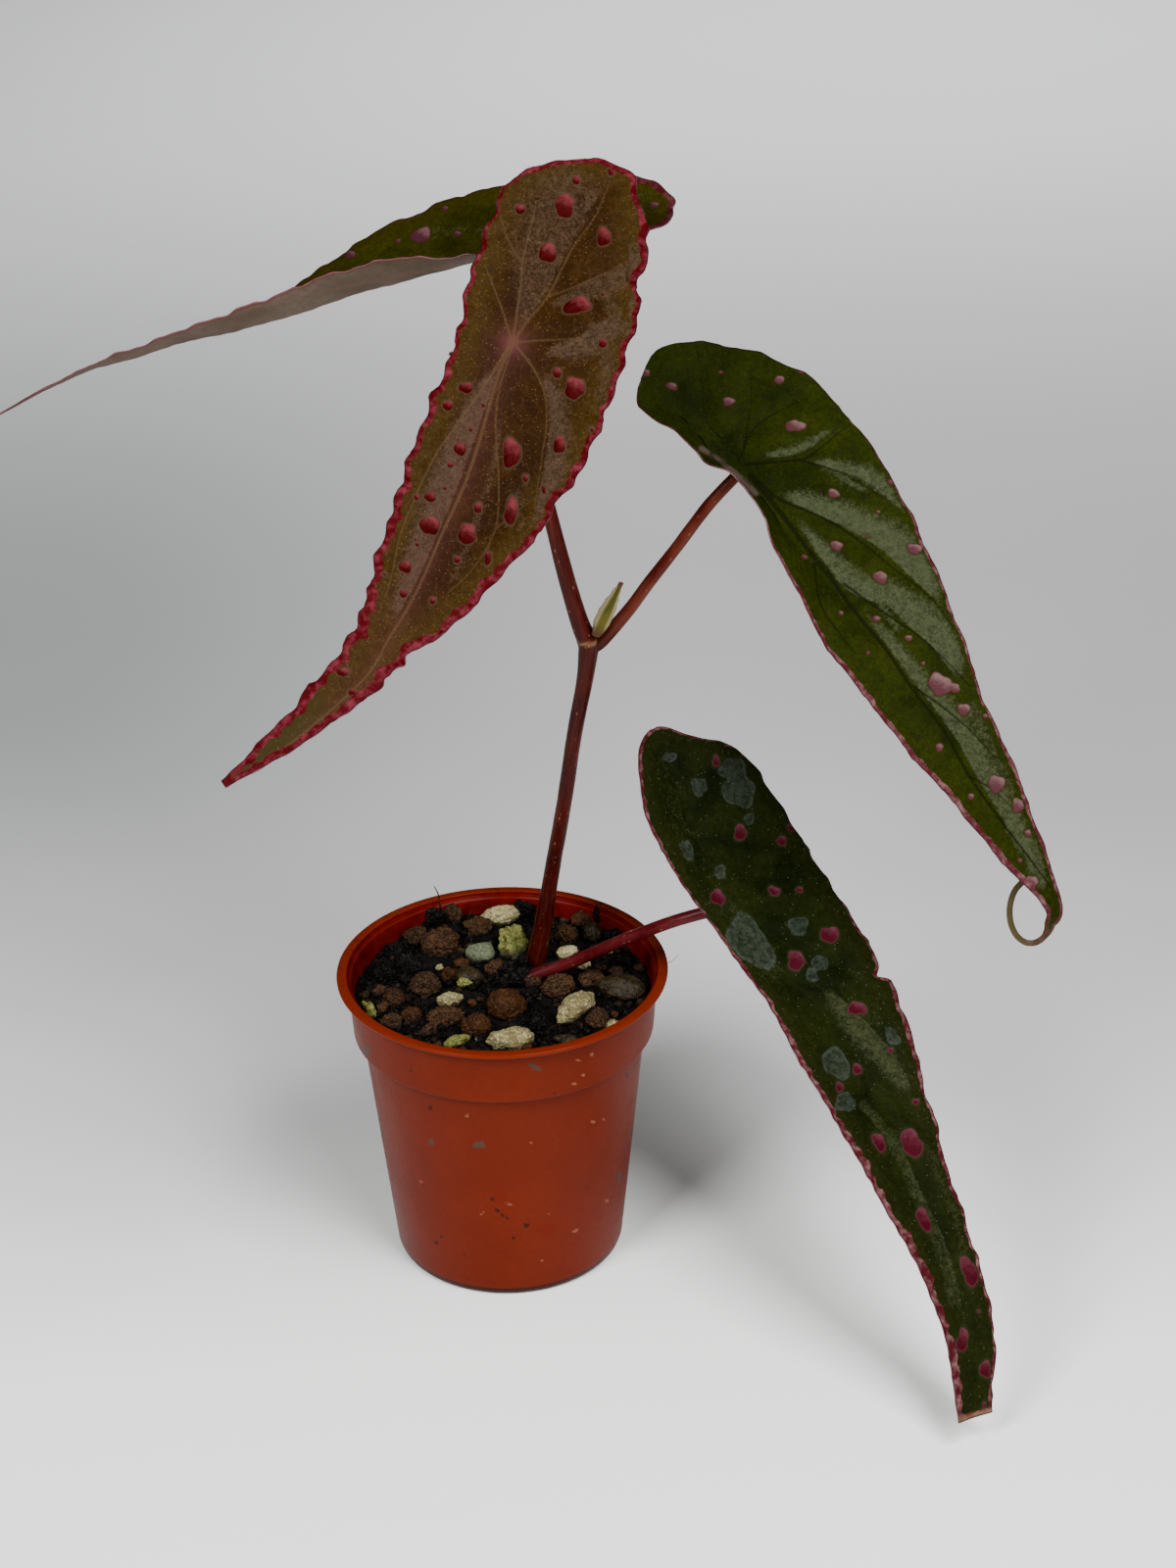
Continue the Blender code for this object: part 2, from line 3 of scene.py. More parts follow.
import bmesh
import bpy
import numpy as np
from mathutils import Matrix, Vector, noise


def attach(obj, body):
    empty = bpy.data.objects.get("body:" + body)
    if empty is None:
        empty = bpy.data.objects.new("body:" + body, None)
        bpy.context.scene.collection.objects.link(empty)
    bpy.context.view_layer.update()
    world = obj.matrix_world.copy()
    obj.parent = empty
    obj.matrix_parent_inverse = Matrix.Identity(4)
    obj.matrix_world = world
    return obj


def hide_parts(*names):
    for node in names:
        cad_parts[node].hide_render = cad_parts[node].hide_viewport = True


# The potted begonia's looks. Lengths are millimetres until a mesh is made, in the solids'
# own frame. Leaf marks are given where the 1200 by 1600 picture shows them.

MM = 0.001
PICTURE_SIZE = (1200, 1600)
LENS = 80.0
FILM = 36.0
CAMERA_PLACE = (0.0, -634.0, 442.8)
CAMERA_YAW = -1.7
CAMERA_PITCH = 27.68
CAMERA_ROLL = -1.04
MM_PER_PIXEL = 0.207

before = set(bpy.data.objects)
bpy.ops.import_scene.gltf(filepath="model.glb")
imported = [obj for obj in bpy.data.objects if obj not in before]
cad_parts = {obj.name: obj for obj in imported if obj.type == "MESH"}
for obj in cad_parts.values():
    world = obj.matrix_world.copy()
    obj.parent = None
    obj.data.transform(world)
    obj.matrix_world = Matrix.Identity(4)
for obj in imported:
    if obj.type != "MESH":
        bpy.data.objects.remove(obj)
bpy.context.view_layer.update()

# ---------------------------------------------------------------- camera, light and floor


def camera_axes():
    """Right, up and ahead of the camera, as unit vectors."""
    yaw, pitch, roll = (math.radians(a) for a in (CAMERA_YAW, CAMERA_PITCH, CAMERA_ROLL))
    level = np.array([-math.sin(yaw), math.cos(yaw), 0.0])
    aside = np.array([math.cos(yaw), math.sin(yaw), 0.0])
    ahead = level * math.cos(pitch) - np.array([0.0, 0.0, math.sin(pitch)])
    above = level * math.sin(pitch) + np.array([0.0, 0.0, math.cos(pitch)])
    right = aside * math.cos(roll) + above * math.sin(roll)
    up = above * math.cos(roll) - aside * math.sin(roll)
    return right, up, ahead


def picture_place(points):
    """Where points in millimetres fall in the picture, in its pixels."""
    right, up, ahead = camera_axes()
    offset = np.asarray(points, dtype=float) - np.array(CAMERA_PLACE)
    depth = offset @ ahead
    scale = LENS / FILM * PICTURE_SIZE[1] / depth
    across = PICTURE_SIZE[0] / 2 + offset @ right * scale
    down = PICTURE_SIZE[1] / 2 - offset @ up * scale
    return np.stack([across, down], axis=-1)


def make_camera():
    right, up, ahead = camera_axes()
    data = bpy.data.cameras.new("picture camera")
    data.sensor_fit = "AUTO"
    data.sensor_width = FILM
    data.lens = LENS
    data.clip_start, data.clip_end = 0.01, 20.0
    camera = bpy.data.objects.new("picture camera", data)
    bpy.context.scene.collection.objects.link(camera)
    turn = Matrix([right, up, -ahead]).transposed()
    camera.matrix_world = Matrix.Translation(Vector(CAMERA_PLACE) * MM) @ turn.to_4x4()
    bpy.context.scene.camera = camera


def make_light(name, place, aim, size, power):
    data = bpy.data.lights.new(name, "AREA")
    data.shape = "RECTANGLE"
    data.size, data.size_y = size
    data.energy = power
    light = bpy.data.objects.new(name, data)
    light.location = place
    way = Vector(aim) - Vector(place)
    light.rotation_euler = way.to_track_quat("-Z", "Y").to_euler()
    bpy.context.scene.collection.objects.link(light)
    return data


def make_studio():
    pot_middle = (0, 0, 0.05)
    make_light("left softbox", (-0.55, -0.65, 0.85), pot_middle, (0.42, 0.42), 16.6)
    make_light("high softbox", (0.35, -0.45, 1.0), pot_middle, (0.4, 0.4), 11.5)
    make_light("right softbox", (0.44, -0.76, 0.68), pot_middle, (0.46, 0.46), 9.5)
    far = make_light("far softbox", (0.22, 1.0, 0.9), (0.22, 1.01, 0.0), (0.8, 0.4), 2.0)
    far.spread = math.radians(75.0)
    world = bpy.data.worlds.new("studio air")
    world.use_nodes = True
    air = world.node_tree.nodes["Background"]
    air.inputs["Color"].default_value = (0.93, 0.96, 1.0, 1.0)
    air.inputs["Strength"].default_value = 0.02
    bpy.context.scene.world = world


def make_floor():
    bm = bmesh.new()
    bmesh.ops.create_grid(bm, x_segments=8, y_segments=8, size=4.0)
    mesh = bpy.data.meshes.new("studio_floor")
    bm.to_mesh(mesh)
    bm.free()
    mesh.materials.append(floor_finish())
    floor = bpy.data.objects.new("studio_floor", mesh)
    bpy.context.scene.collection.objects.link(floor)


# ---------------------------------------------------------------- wiring for materials

# Paints that the finishes name, as linear red, green and blue
PAINTS = {
    "paper": (0.9, 0.91, 0.895), "paper light": (0.93, 0.94, 0.925),
    # Painted shade on the paper behind the plant
    "paper painted shade": (0.42, 0.425, 0.42), "paper painted deep shade": (0.27, 0.275, 0.28),
    "paper far": (0.9, 0.91, 0.91),
    "water stain": (0.046, 0.058, 0.05), "leaf lining": (0.062, 0.043, 0.032),
    "leaf outline": (0.02, 0.002, 0.004),
    "underside": (0.066, 0.046, 0.031), "underside light": (0.096, 0.072, 0.054),
    "underside net": (0.075, 0.038, 0.029), "underside rib": (0.1, 0.056, 0.043),
    "underside rim": (0.08, 0.012, 0.018), "underside dry": (0.048, 0.04, 0.019),
    "edge": (0.035, 0.003, 0.007), "edge light": (0.08, 0.01, 0.018),
    "edge dry": (0.11, 0.085, 0.05),
    "red cane": (0.02, 0.0009, 0.0002), "red cane light": (0.036, 0.0024, 0.0006),
    "red stalk": (0.046, 0.0044, 0.0023), "red stalk light": (0.098, 0.0205, 0.0105),
    "rosy stalk": (0.04, 0.0014, 0.0028), "rosy stalk light": (0.068, 0.006, 0.008),
    "cane streak": (0.078, 0.01, 0.0055), "cane pore": (0.17, 0.072, 0.04),
    "cane bloom": (0.12, 0.068, 0.06), "cane scar": (0.17, 0.09, 0.044),
    "sheath": (0.036, 0.034, 0.0016), "sheath light": (0.066, 0.056, 0.0046),
    "sheath rib": (0.026, 0.027, 0.001), "sheath wing": (0.2, 0.17, 0.09),
    "sheath brown": (0.055, 0.018, 0.009),
    "plastic": (0.088, 0.0074, 0.001), "plastic light": (0.1, 0.0086, 0.0014),
    "plastic film": (0.096, 0.0105, 0.003), "plastic mottle": (0.058, 0.0056, 0.001),
    "plastic rim": (0.112, 0.0085, 0.0004), "plastic wet": (0.092, 0.0048, 0.0001),
    "plastic inside": (0.052, 0.0004, 0.0001), "plastic inside light": (0.088, 0.0013, 0.0001),
    "pot crumb": (0.02, 0.005, 0.002), "pot chalk": (0.17, 0.06, 0.035),
    "pot dirt": (0.04, 0.028, 0.02), "pot speck": (0.01, 0.004, 0.002),
    # Painted shadows: a thin dark line under the collar's step and a dark band along the foot
    "pot nick": (0.18, 0.062, 0.036), "pot painted collar shadow": (0.03, 0.0022, 0.0002),
    "pot painted contact shadow": (0.014, 0.002, 0.0005), "rim grime": (0.028, 0.009, 0.004),
    # Painted shade where a stone sinks into the mix
    "stone painted contact shade": (0.0008, 0.0005, 0.0003),
    "mix": (0.0002, 0.0002, 0.0002), "mix light": (0.0022, 0.0013, 0.0008),
    "mix crumb": (0.016, 0.008, 0.004),
    "fibre": (0.004, 0.002, 0.0015), "fibre light": (0.02, 0.011, 0.008),
}
# How strongly each surface mirrors its surroundings
SHINES = {
    "underside": 0.03, "cane": 0.08, "sheath": 0.1, "plastic": 0.05, "stone": 0.13,
    "bark": 0.07, "mix": 0.1, "fibre": 0.05,
}


def as_paint(colour):
    """What a colour socket takes, from a paint's name, three numbers or another socket."""
    if isinstance(colour, str):
        colour = PAINTS[colour]
    return (*colour, 1.0) if isinstance(colour, tuple) else colour


class Wiring:
    """Short calls that put nodes into one tree. A socket given as a value is linked."""

    def __init__(self, tree):
        self.tree = tree

    def feed(self, target, value):
        if isinstance(value, bpy.types.NodeSocket):
            self.tree.links.new(value, target)
        else:
            target.default_value = value

    def put(self, kind, sockets, **settings):
        made = self.tree.nodes.new(kind)
        for name, value in settings.items():
            setattr(made, name, value)
        for key, value in sockets.items():
            self.feed(made.inputs[key], value)
        return made

    def own_place(self):
        """The piece's own coordinates, in millimetres."""
        place = self.put("ShaderNodeTexCoord", {}).outputs["Object"]
        return self.stretched(place, (1000.0, 1000.0, 1000.0))

    def stretched(self, vector, scale):
        sockets = {"Vector": vector, "Scale": scale}
        return self.put("ShaderNodeMapping", sockets).outputs["Vector"]

    def axis(self, vector, letter):
        return self.put("ShaderNodeSeparateXYZ", {"Vector": vector}).outputs[letter]

    def measure(self, name, output="Fac"):
        """A number kept on the mesh, or a vector with output "Vector"."""
        return self.put("ShaderNodeAttribute", {}, attribute_name=name).outputs[output]

    def noise(self, vector, scale, detail=3.0, rough=0.55, warp=0.0):
        sockets = {
            "Vector": vector, "Scale": scale, "Detail": detail,
            "Roughness": rough, "Distortion": warp}
        return self.put("ShaderNodeTexNoise", sockets).outputs[0]

    def cells(self, vector, scale, feature="F1"):
        sockets = {"Vector": vector, "Scale": scale}
        return self.put("ShaderNodeTexVoronoi", sockets, feature=feature).outputs["Distance"]

    def fit(self, value, low, high, start=0.0, end=1.0):
        """Turn low..high into start..end with soft ends."""
        sockets = {
            "Value": value, "From Min": low, "From Max": high,
            "To Min": start, "To Max": end}
        made = self.put("ShaderNodeMapRange", sockets, interpolation_type="SMOOTHSTEP")
        return made.outputs["Result"]

    def reckon(self, kind, first, second=0.0):
        return self.put("ShaderNodeMath", {0: first, 1: second}, operation=kind).outputs[0]

    def plus(self, first, second):
        return self.reckon("ADD", first, second)

    def minus(self, first, second):
        return self.reckon("SUBTRACT", first, second)

    def times(self, first, second):
        return self.reckon("MULTIPLY", first, second)

    def one_over(self, value):
        return self.reckon("DIVIDE", 1.0, value)

    def blend(self, share, first, second, way="MIX"):
        """Mix two colours."""
        made = self.put(
            "ShaderNodeMix", {0: share, 6: as_paint(first), 7: as_paint(second)},
            data_type="RGBA", blend_type=way)
        return made.outputs[2]

    def over(self, colour, mask, strength, paint):
        """Lay a paint over a colour where a mask is 1, at this strength."""
        return self.blend(self.times(mask, strength), colour, paint)

    def shaded(self, colour, share, dark, light):
        """Multiply a colour by dark where share is 0, and by light where it is 1."""
        tone = self.blend(share, (dark,) * 3, (light,) * 3)
        return self.blend(1.0, colour, tone, "MULTIPLY")

    def blend_value(self, share, first, second):
        made = self.put("ShaderNodeMix", {0: share, 2: first, 3: second}, data_type="FLOAT")
        return made.outputs[0]

    def bump(self, height, depth, strength):
        """Relief whose depth is in millimetres."""
        sockets = {"Height": height, "Distance": depth * MM, "Strength": strength}
        return self.put("ShaderNodeBump", sockets).outputs["Normal"]

    def use(self, group, **sockets):
        """Place a node group and return its outputs."""
        made = self.tree.nodes.new("ShaderNodeGroup")
        made.node_tree = group
        for key, value in sockets.items():
            self.feed(made.inputs[key.capitalize()], value)
        return made.outputs


def start_group(name, takes, gives):
    """A node group with named sockets: the group, its wiring and its two ends."""
    group = bpy.data.node_groups.new(name, "ShaderNodeTree")
    for label, value in takes.items():
        kind = "NodeSocketVector" if value is None else "NodeSocketFloat"
        socket = group.interface.new_socket(name=label, in_out="INPUT", socket_type=kind)
        if value is not None:
            socket.default_value = value
    for label in gives:
        group.interface.new_socket(
            name=label, in_out="OUTPUT", socket_type="NodeSocketFloat")
    start = group.nodes.new("NodeGroupInput")
    end = group.nodes.new("NodeGroupOutput")
    return group, Wiring(group), start.outputs, end.inputs


def drift_group():
    """Slow and quick changes of tone over a surface, each from 0 to 1."""
    group, wire, takes, gives = start_group(
        "tone drift", {"Place": None, "Patch": 10.0, "Mottle": 1.0}, ["Patches", "Mottling"])
    slow = wire.noise(takes["Place"], wire.one_over(takes["Patch"]), 2.0, 0.5, 0.4)
    quick = wire.noise(takes["Place"], wire.one_over(takes["Mottle"]), 4.0, 0.65)
    wire.feed(gives["Patches"], wire.fit(slow, 0.32, 0.68))
    wire.feed(gives["Mottling"], wire.fit(quick, 0.3, 0.7))
    return group


def ragged_group():
    """A mask for a marking: 1 where a measured depth is above 0, with a torn edge."""
    group, wire, takes, gives = start_group(
        "ragged edge",
        {"Depth": 0.0, "Place": None, "Tear": 0.3, "Pitch": 1.0, "Softness": 0.1},
        ["Mask", "Torn depth"])
    grain = wire.noise(takes["Place"], wire.one_over(takes["Pitch"]), 3.0, 0.6)
    shift = wire.times(wire.minus(grain, 0.5), takes["Tear"])
    torn = wire.plus(takes["Depth"], wire.times(shift, 2.0))
    low, high = (wire.times(takes["Softness"], half) for half in (-0.5, 0.5))
    wire.feed(gives["Mask"], wire.fit(torn, low, high))
    wire.feed(gives["Torn depth"], torn)
    return group


def specks_group():
    """Small round specks scattered over a surface. Share is how many cells hold one."""
    group, wire, takes, gives = start_group(
        "scattered specks", {"Place": None, "Pitch": 1.0, "Size": 0.2, "Share": 0.3}, ["Mask"])
    sockets = {"Vector": takes["Place"], "Scale": wire.one_over(takes["Pitch"])}
    cell = wire.put("ShaderNodeTexVoronoi", sockets).outputs
    chance = wire.put("ShaderNodeSeparateColor", {"Color": cell["Color"]}).outputs
    chosen = wire.reckon("LESS_THAN", chance["Red"], takes["Share"])
    size = wire.times(takes["Size"], wire.fit(chance["Green"], 0, 1, 0.5, 1))
    round_mask = wire.fit(cell["Distance"], wire.times(size, 0.6), size, 1.0, 0.0)
    wire.feed(gives["Mask"], wire.times(round_mask, chosen))
    return group


def grain_group():
    """Fine relief: lumps of one size with smaller ones on them, and pits between."""
    group, wire, takes, gives = start_group(
        "fine relief", {"Place": None, "Lump": 1.0, "Pit": 0.4}, ["Height", "Pits"])
    lumps = wire.noise(takes["Place"], wire.one_over(takes["Lump"]), 5.0, 0.62)
    hollow = wire.fit(wire.cells(takes["Place"], wire.one_over(takes["Pit"])), 0.05, 0.55)
    wire.feed(gives["Height"], wire.plus(lumps, wire.times(hollow, 0.35)))
    wire.feed(gives["Pits"], hollow)
    return group


DRIFT = drift_group()
RAGGED = ragged_group()
SPECKS = specks_group()
GRAIN = grain_group()


class Finish(Wiring):
    """A material in the making. Its shared effects are the groups above."""

    def __init__(self, name):
        self.material = bpy.data.materials.new(name)
        self.material.use_nodes = True
        super().__init__(self.material.node_tree)

    def drift(self, place, patch, mottle):
        made = self.use(DRIFT, place=place, patch=patch, mottle=mottle)
        return made["Patches"], made["Mottling"]

    def torn(self, place, depth, tear, pitch, softness):
        made = self.use(
            RAGGED, depth=depth, place=place, tear=tear, pitch=pitch, softness=softness)
        return made["Mask"], made["Torn depth"]

    def specks(self, place, pitch, size, share):
        return self.use(SPECKS, place=place, pitch=pitch, size=size, share=share)["Mask"]

    def grain(self, place, lump, pit):
        made = self.use(GRAIN, place=place, lump=lump, pit=pit)
        return made["Height"], made["Pits"]

    def done(self, colour, roughness, normal=None, shine=None):
        """Join colour, roughness, relief and shine to the shader."""
        skin = self.tree.nodes["Principled BSDF"].inputs
        self.feed(skin["Base Color"], colour)
        self.feed(skin["Roughness"], roughness)
        if normal is not None:
            self.feed(skin["Normal"], normal)
        if shine is not None:
            self.feed(skin["Specular IOR Level"], shine)
        return self.material


def floor_finish():
    """Pale paper with painted shade behind the plant, deepest on its left, and paler again far
    back.
    """
    wire = Finish("studio paper")
    place = wire.own_place()
    patches, _ = wire.drift(place, 300.0, 3.0)
    aside, back = wire.axis(place, "X"), wire.axis(place, "Y")
    # Painted shade: the paper turns darker behind the plant, most of all on its left
    deep = wire.times(wire.fit(aside, -140.0, 60.0, 0.86, 0.32), wire.fit(back, 50.0, 270.0))
    colour = wire.blend(patches, "paper", "paper light")
    colour = wire.over(colour, wire.fit(back, -70.0, 60.0), 0.62, "paper painted shade")
    colour = wire.blend(deep, colour, "paper painted deep shade")
    colour = wire.blend(wire.fit(back, 300.0, 820.0, 0.0, 0.95), colour, "paper far")
    return wire.done(colour, 0.75)


# ---------------------------------------------------------------- finishes of the plant

# What the upper faces share unless a leaf's own look says otherwise: how a spot's painted
# highlight spreads, its ring's strength, how torn the margin is, specks, dry tip and veins
LEAF_LOOK = {
    "spot_highlight_range": 1.2, "ring": 0.6, "margin_tear": 0.35, "roughness": 0.5, "shine": 0.01,
    "speck_pitch": 0.66, "speck_share": 0.3, "dry": (0.045, 0.038, 0.016), "vein_share": 0.5,
}
# The paints of each upper face, and what differs from the shared look; one paint is the colour
# of the painted reflection bands
LEAF_LOOKS = {
    "front": {
        "dark": (0.0108, 0.0034, 0.0001), "light": (0.0165, 0.0062, 0.0002),
        "edge": (0.0245, 0.0132, 0.0018), "painted_sheen": (0.033, 0.0192, 0.011),
        "vein": (0.052, 0.029, 0.0125), "blush": (0.07, 0.02, 0.021),
        "spot": (0.027, 0.0001, 0.0003), "spot_painted_highlight": (0.102, 0.019, 0.022),
        "spot_rim": (0.025, 0.0001, 0.0003), "halo": (0.034, 0.025, 0.014),
        "margin": (0.038, 0.0002, 0.0012), "margin_light": (0.112, 0.017, 0.025),
        "speck": (0.09, 0.058, 0.022), "dry": (0.15, 0.092, 0.048),
        "tail": (0.0125, 0.0165, 0.0022),
        "spot_highlight_range": 1.25, "ring": 0.35, "margin_tear": 0.4, "shine": 0.02,
        "speck_pitch": 0.6, "speck_share": 0.75, "vein_share": 0.6,
    },
    "rear": {
        "dark": (0.0085, 0.0085, 0.0001), "light": (0.0145, 0.0145, 0.0001),
        "edge": (0.019, 0.015, 0.0006), "painted_sheen": (0.025, 0.028, 0.012),
        "vein": (0.005, 0.006, 0.0002), "blush": (0.014, 0.013, 0.001),
        "spot": (0.034, 0.0085, 0.013), "spot_painted_highlight": (0.075, 0.035, 0.04),
        "spot_rim": (0.026, 0.004, 0.008), "halo": (0.013, 0.013, 0.001),
        "margin": (0.03, 0.0025, 0.0045), "margin_light": (0.07, 0.021, 0.024),
        "speck": (0.032, 0.032, 0.003),
    },
    "right": {
        "dark": (0.0048, 0.0074, 0.0003), "light": (0.0112, 0.0146, 0.0008),
        "edge": (0.01, 0.0132, 0.0008), "painted_sheen": (0.028, 0.0325, 0.015),
        "vein": (0.0028, 0.0036, 0.0001), "blush": (0.009, 0.011, 0.0005),
        "spot": (0.048, 0.015, 0.019), "spot_painted_highlight": (0.102, 0.062, 0.057),
        "spot_rim": (0.036, 0.0045, 0.0085), "halo": (0.01, 0.012, 0.0004),
        "margin": (0.042, 0.0065, 0.0095), "margin_light": (0.125, 0.06, 0.06),
        "speck": (0.028, 0.033, 0.005), "vein_share": 0.8,
    },
    "low": {
        "dark": (0.0026, 0.0044, 0.0005), "light": (0.0072, 0.0098, 0.0012),
        "edge": (0.0078, 0.0096, 0.0014), "painted_sheen": (0.021, 0.0245, 0.0095),
        "vein": (0.006, 0.0078, 0.001), "blush": (0.006, 0.012, 0.005),
        "spot": (0.033, 0.0016, 0.0052), "spot_painted_highlight": (0.08, 0.022, 0.031),
        "spot_rim": (0.056, 0.016, 0.021), "halo": (0.013, 0.016, 0.005),
        "margin": (0.04, 0.004, 0.006), "margin_light": (0.145, 0.07, 0.07),
        "speck": (0.064, 0.072, 0.048), "dry": (0.15, 0.092, 0.048),
        "spot_highlight_range": 1.6, "margin_tear": 0.5, "roughness": 0.55, "shine": 0.015,
    },
}


def leaf_net(wire, place, width, strength):
    """The fine net between the veins."""
    return wire.fit(wire.cells(place, 0.42, "DISTANCE_TO_EDGE"), 0.0, width, strength, 0.0)


def leaf_ground(wire, look, place, border, net):
    """The upper face's own colour, veins, specks and mottling, with painted reflection bands."""
    patches, mottling = wire.drift(place, 9.0, 1.1)
    lumps = wire.fit(wire.noise(place, 2.2, 3.0, 0.7), 0.32, 0.68)
    fine = wire.blend_value(0.45, mottling, lumps)
    # Painted reflection: bands of lighter colour that stand in for light off the face, broken up
    # by fine grain
    painted_sheen_grain = wire.plus(wire.times(wire.minus(mottling, 0.5), 0.9), wire.minus(lumps, 0.5))
    painted_sheen = wire.plus(wire.measure("painted_sheen"), wire.times(painted_sheen_grain, 0.3))
    colour = wire.blend(patches, look["dark"], look["light"])
    colour = wire.over(colour, wire.fit(border, 0.5, 7.0, 1.0, 0.0), 0.8, look["edge"])
    colour = wire.blend(net, colour, look["vein"])
    colour = wire.blend(wire.fit(painted_sheen, 0.15, 1.0), colour, look["painted_sheen"])
    colour = wire.shaded(colour, fine, 0.6, 1.42)
    if "tail" in look:
        near_tip = wire.fit(wire.axis(place, "X"), -38.0, -27.0, 0.9, 0.0)
        tail = wire.times(near_tip, wire.fit(fine, 0.2, 0.8, 1.0, 0.6))
        colour = wire.blend(tail, colour, look["tail"])
    colour = wire.blend(wire.measure("blush"), colour, look["blush"])
    ribs = wire.fit(wire.measure("vein"), -0.1, 0.28, look["vein_share"], 0.0)
    colour = wire.blend(ribs, colour, look["vein"])
    dots = wire.specks(place, look["speck_pitch"], 0.27, look["speck_share"])
    return wire.over(colour, dots, 0.55, look["speck"]), mottling


def leaf_spots(wire, look, place, mottling, colour):
    """Raised spots with a pale halo and darker inner ring, with painted light above, shade below.
    """
    mask, depth = wire.torn(place, wire.measure("spot"), 0.22, 1.7, 0.12)
    colour = wire.blend(wire.fit(depth, -0.55, 0.0, 0.0, 0.7), colour, look["halo"])
    # Painted light and shade: a spot's upper side turns to its highlight paint, its lower side to
    # its darker paint
    lit = wire.minus(wire.times(mottling, 0.5), wire.measure("lean"))
    lit = wire.fit(lit, -0.1, look["spot_highlight_range"])
    flesh = wire.blend(lit, look["spot"], look["spot_painted_highlight"])
    ring = wire.fit(depth, 0.05, 0.3, look["ring"], 0.0)
    return wire.blend(mask, colour, wire.blend(ring, flesh, look["spot_rim"]))


def leaf_margin(wire, look, place, border, colour):
    """The streaked pink band along the edge, and the thin dark line outside it."""
    mask, _ = wire.torn(place, wire.times(border, -1.0), look["margin_tear"], 1.5, 0.12)
    streaks = wire.fit(wire.noise(place, 0.55, 3.0, 0.6), 0.38, 0.8)
    colour = wire.blend(
        mask, colour, wire.blend(streaks, look["margin"], look["margin_light"]))
    colour = wire.blend(wire.measure("lining"), colour, "leaf lining")
    outline = wire.fit(wire.measure("rim"), 0.05, 0.32, 0.85, 0.0)
    return wire.blend(outline, colour, "leaf outline")


def leaf_top_finish(kind):
    """The upper face: ground, water marks, spots, margin and dry tip."""
    look = {**LEAF_LOOK, **LEAF_LOOKS[kind]}
    wire = Finish("leaf top " + kind)
    place, border = wire.own_place(), wire.measure("border")
    net = leaf_net(wire, place, 0.09, 0.12)
    colour, mottling = leaf_ground(wire, look, place, border, net)
    wet, wet_depth = wire.torn(place, wire.measure("water"), 0.3, 2.0, 0.45)
    mark = wire.times(wet, wire.fit(wet_depth, 0.0, 0.6, 0.85, 0.5))
    mark = wire.times(mark, wire.fit(mottling, 0.1, 0.8, 0.35, 0.95))
    colour = wire.over(colour, mark, 0.6, "water stain")
    colour = leaf_spots(wire, look, place, mottling, colour)
    colour = leaf_margin(wire, look, place, border, colour)
    colour = wire.blend(wire.measure("dry"), colour, look["dry"])
    height, _ = wire.grain(place, 0.9, 0.3)
    height = wire.minus(wire.times(height, 0.6), wire.times(net, 0.8))
    rough = look["roughness"]
    gloss = wire.blend_value(mottling, rough - 0.05, rough + 0.08)
    gloss = wire.blend_value(mark, gloss, 0.62)
    return wire.done(colour, gloss, wire.bump(height, 0.16, 0.75), look["shine"])


def leaf_under_finish():
    """The underside: dull greyish pink with darker, raised veins."""
    wire = Finish("leaf underside")
    place = wire.own_place()
    patches, mottling = wire.drift(place, 14.0, 1.3)
    net = leaf_net(wire, place, 0.1, 0.35)
    ribs = wire.fit(wire.measure("vein"), -0.1, 0.4, 0.6, 0.0)
    colour = wire.blend(patches, "underside", "underside light")
    colour = wire.shaded(colour, mottling, 0.85, 1.12)
    colour = wire.blend(net, colour, "underside net")
    colour = wire.blend(ribs, colour, "underside rib")
    rim = wire.fit(wire.measure("rim"), 0.1, 0.9, 0.7, 0.0)
    colour = wire.blend(rim, colour, "underside rim")
    colour = wire.blend(wire.measure("dry"), colour, "underside dry")
    height, _ = wire.grain(place, 0.8, 0.35)
    height = wire.plus(height, wire.times(ribs, 1.2))
    height = wire.plus(height, wire.times(net, 1.4))
    gloss = wire.blend_value(mottling, 0.48, 0.62)
    return wire.done(colour, gloss, wire.bump(height, 0.12, 0.6), SHINES["underside"])


def leaf_edge_finish():
    wire = Finish("leaf edge")
    patches, mottling = wire.drift(wire.own_place(), 3.0, 0.6)
    colour = wire.blend(patches, "edge", "edge light")
    colour = wire.blend(wire.measure("dry"), colour, "edge dry")
    return wire.done(colour, 0.5, wire.bump(mottling, 0.05, 0.5))


def cane_finish(name, foot=1.0):
    """Smooth bark with long pale pores and a thin bloom, darker by foot at its start."""
    wire = Finish(name)
    place = wire.measure("grain", "Vector")
    patches, mottling = wire.drift(wire.stretched(place, (1, 1, 0.35)), 5.0, 0.7)
    streak = wire.noise(wire.stretched(place, (1.6, 1.6, 0.1)), 1.0, 3.0, 0.6)
    pores = wire.specks(wire.stretched(place, (1, 1, 0.42)), 0.75, 0.27, 0.38)
    colour = wire.blend(patches, name, name + " light")
    colour = wire.blend(wire.fit(streak, 0.45, 0.75, 0.0, 0.45), colour, "cane streak")
    colour = wire.over(colour, pores, 0.65, "cane pore")
    colour = wire.blend(wire.fit(mottling, 0.55, 1.0, 0.0, 0.05), colour, "cane bloom")
    start_tone = wire.fit(wire.axis(place, "Z"), 1.0, 14.0, foot, 1.0)
    colour = wire.shaded(colour, start_tone, 0.0, 1.0)
    colour = wire.blend(wire.measure("scar"), colour, "cane scar")
    height = wire.plus(streak, wire.times(pores, 0.8))
    gloss = wire.blend_value(mottling, 0.24, 0.4)
    return wire.done(colour, gloss, wire.bump(height, 0.12, 0.45), SHINES["cane"])


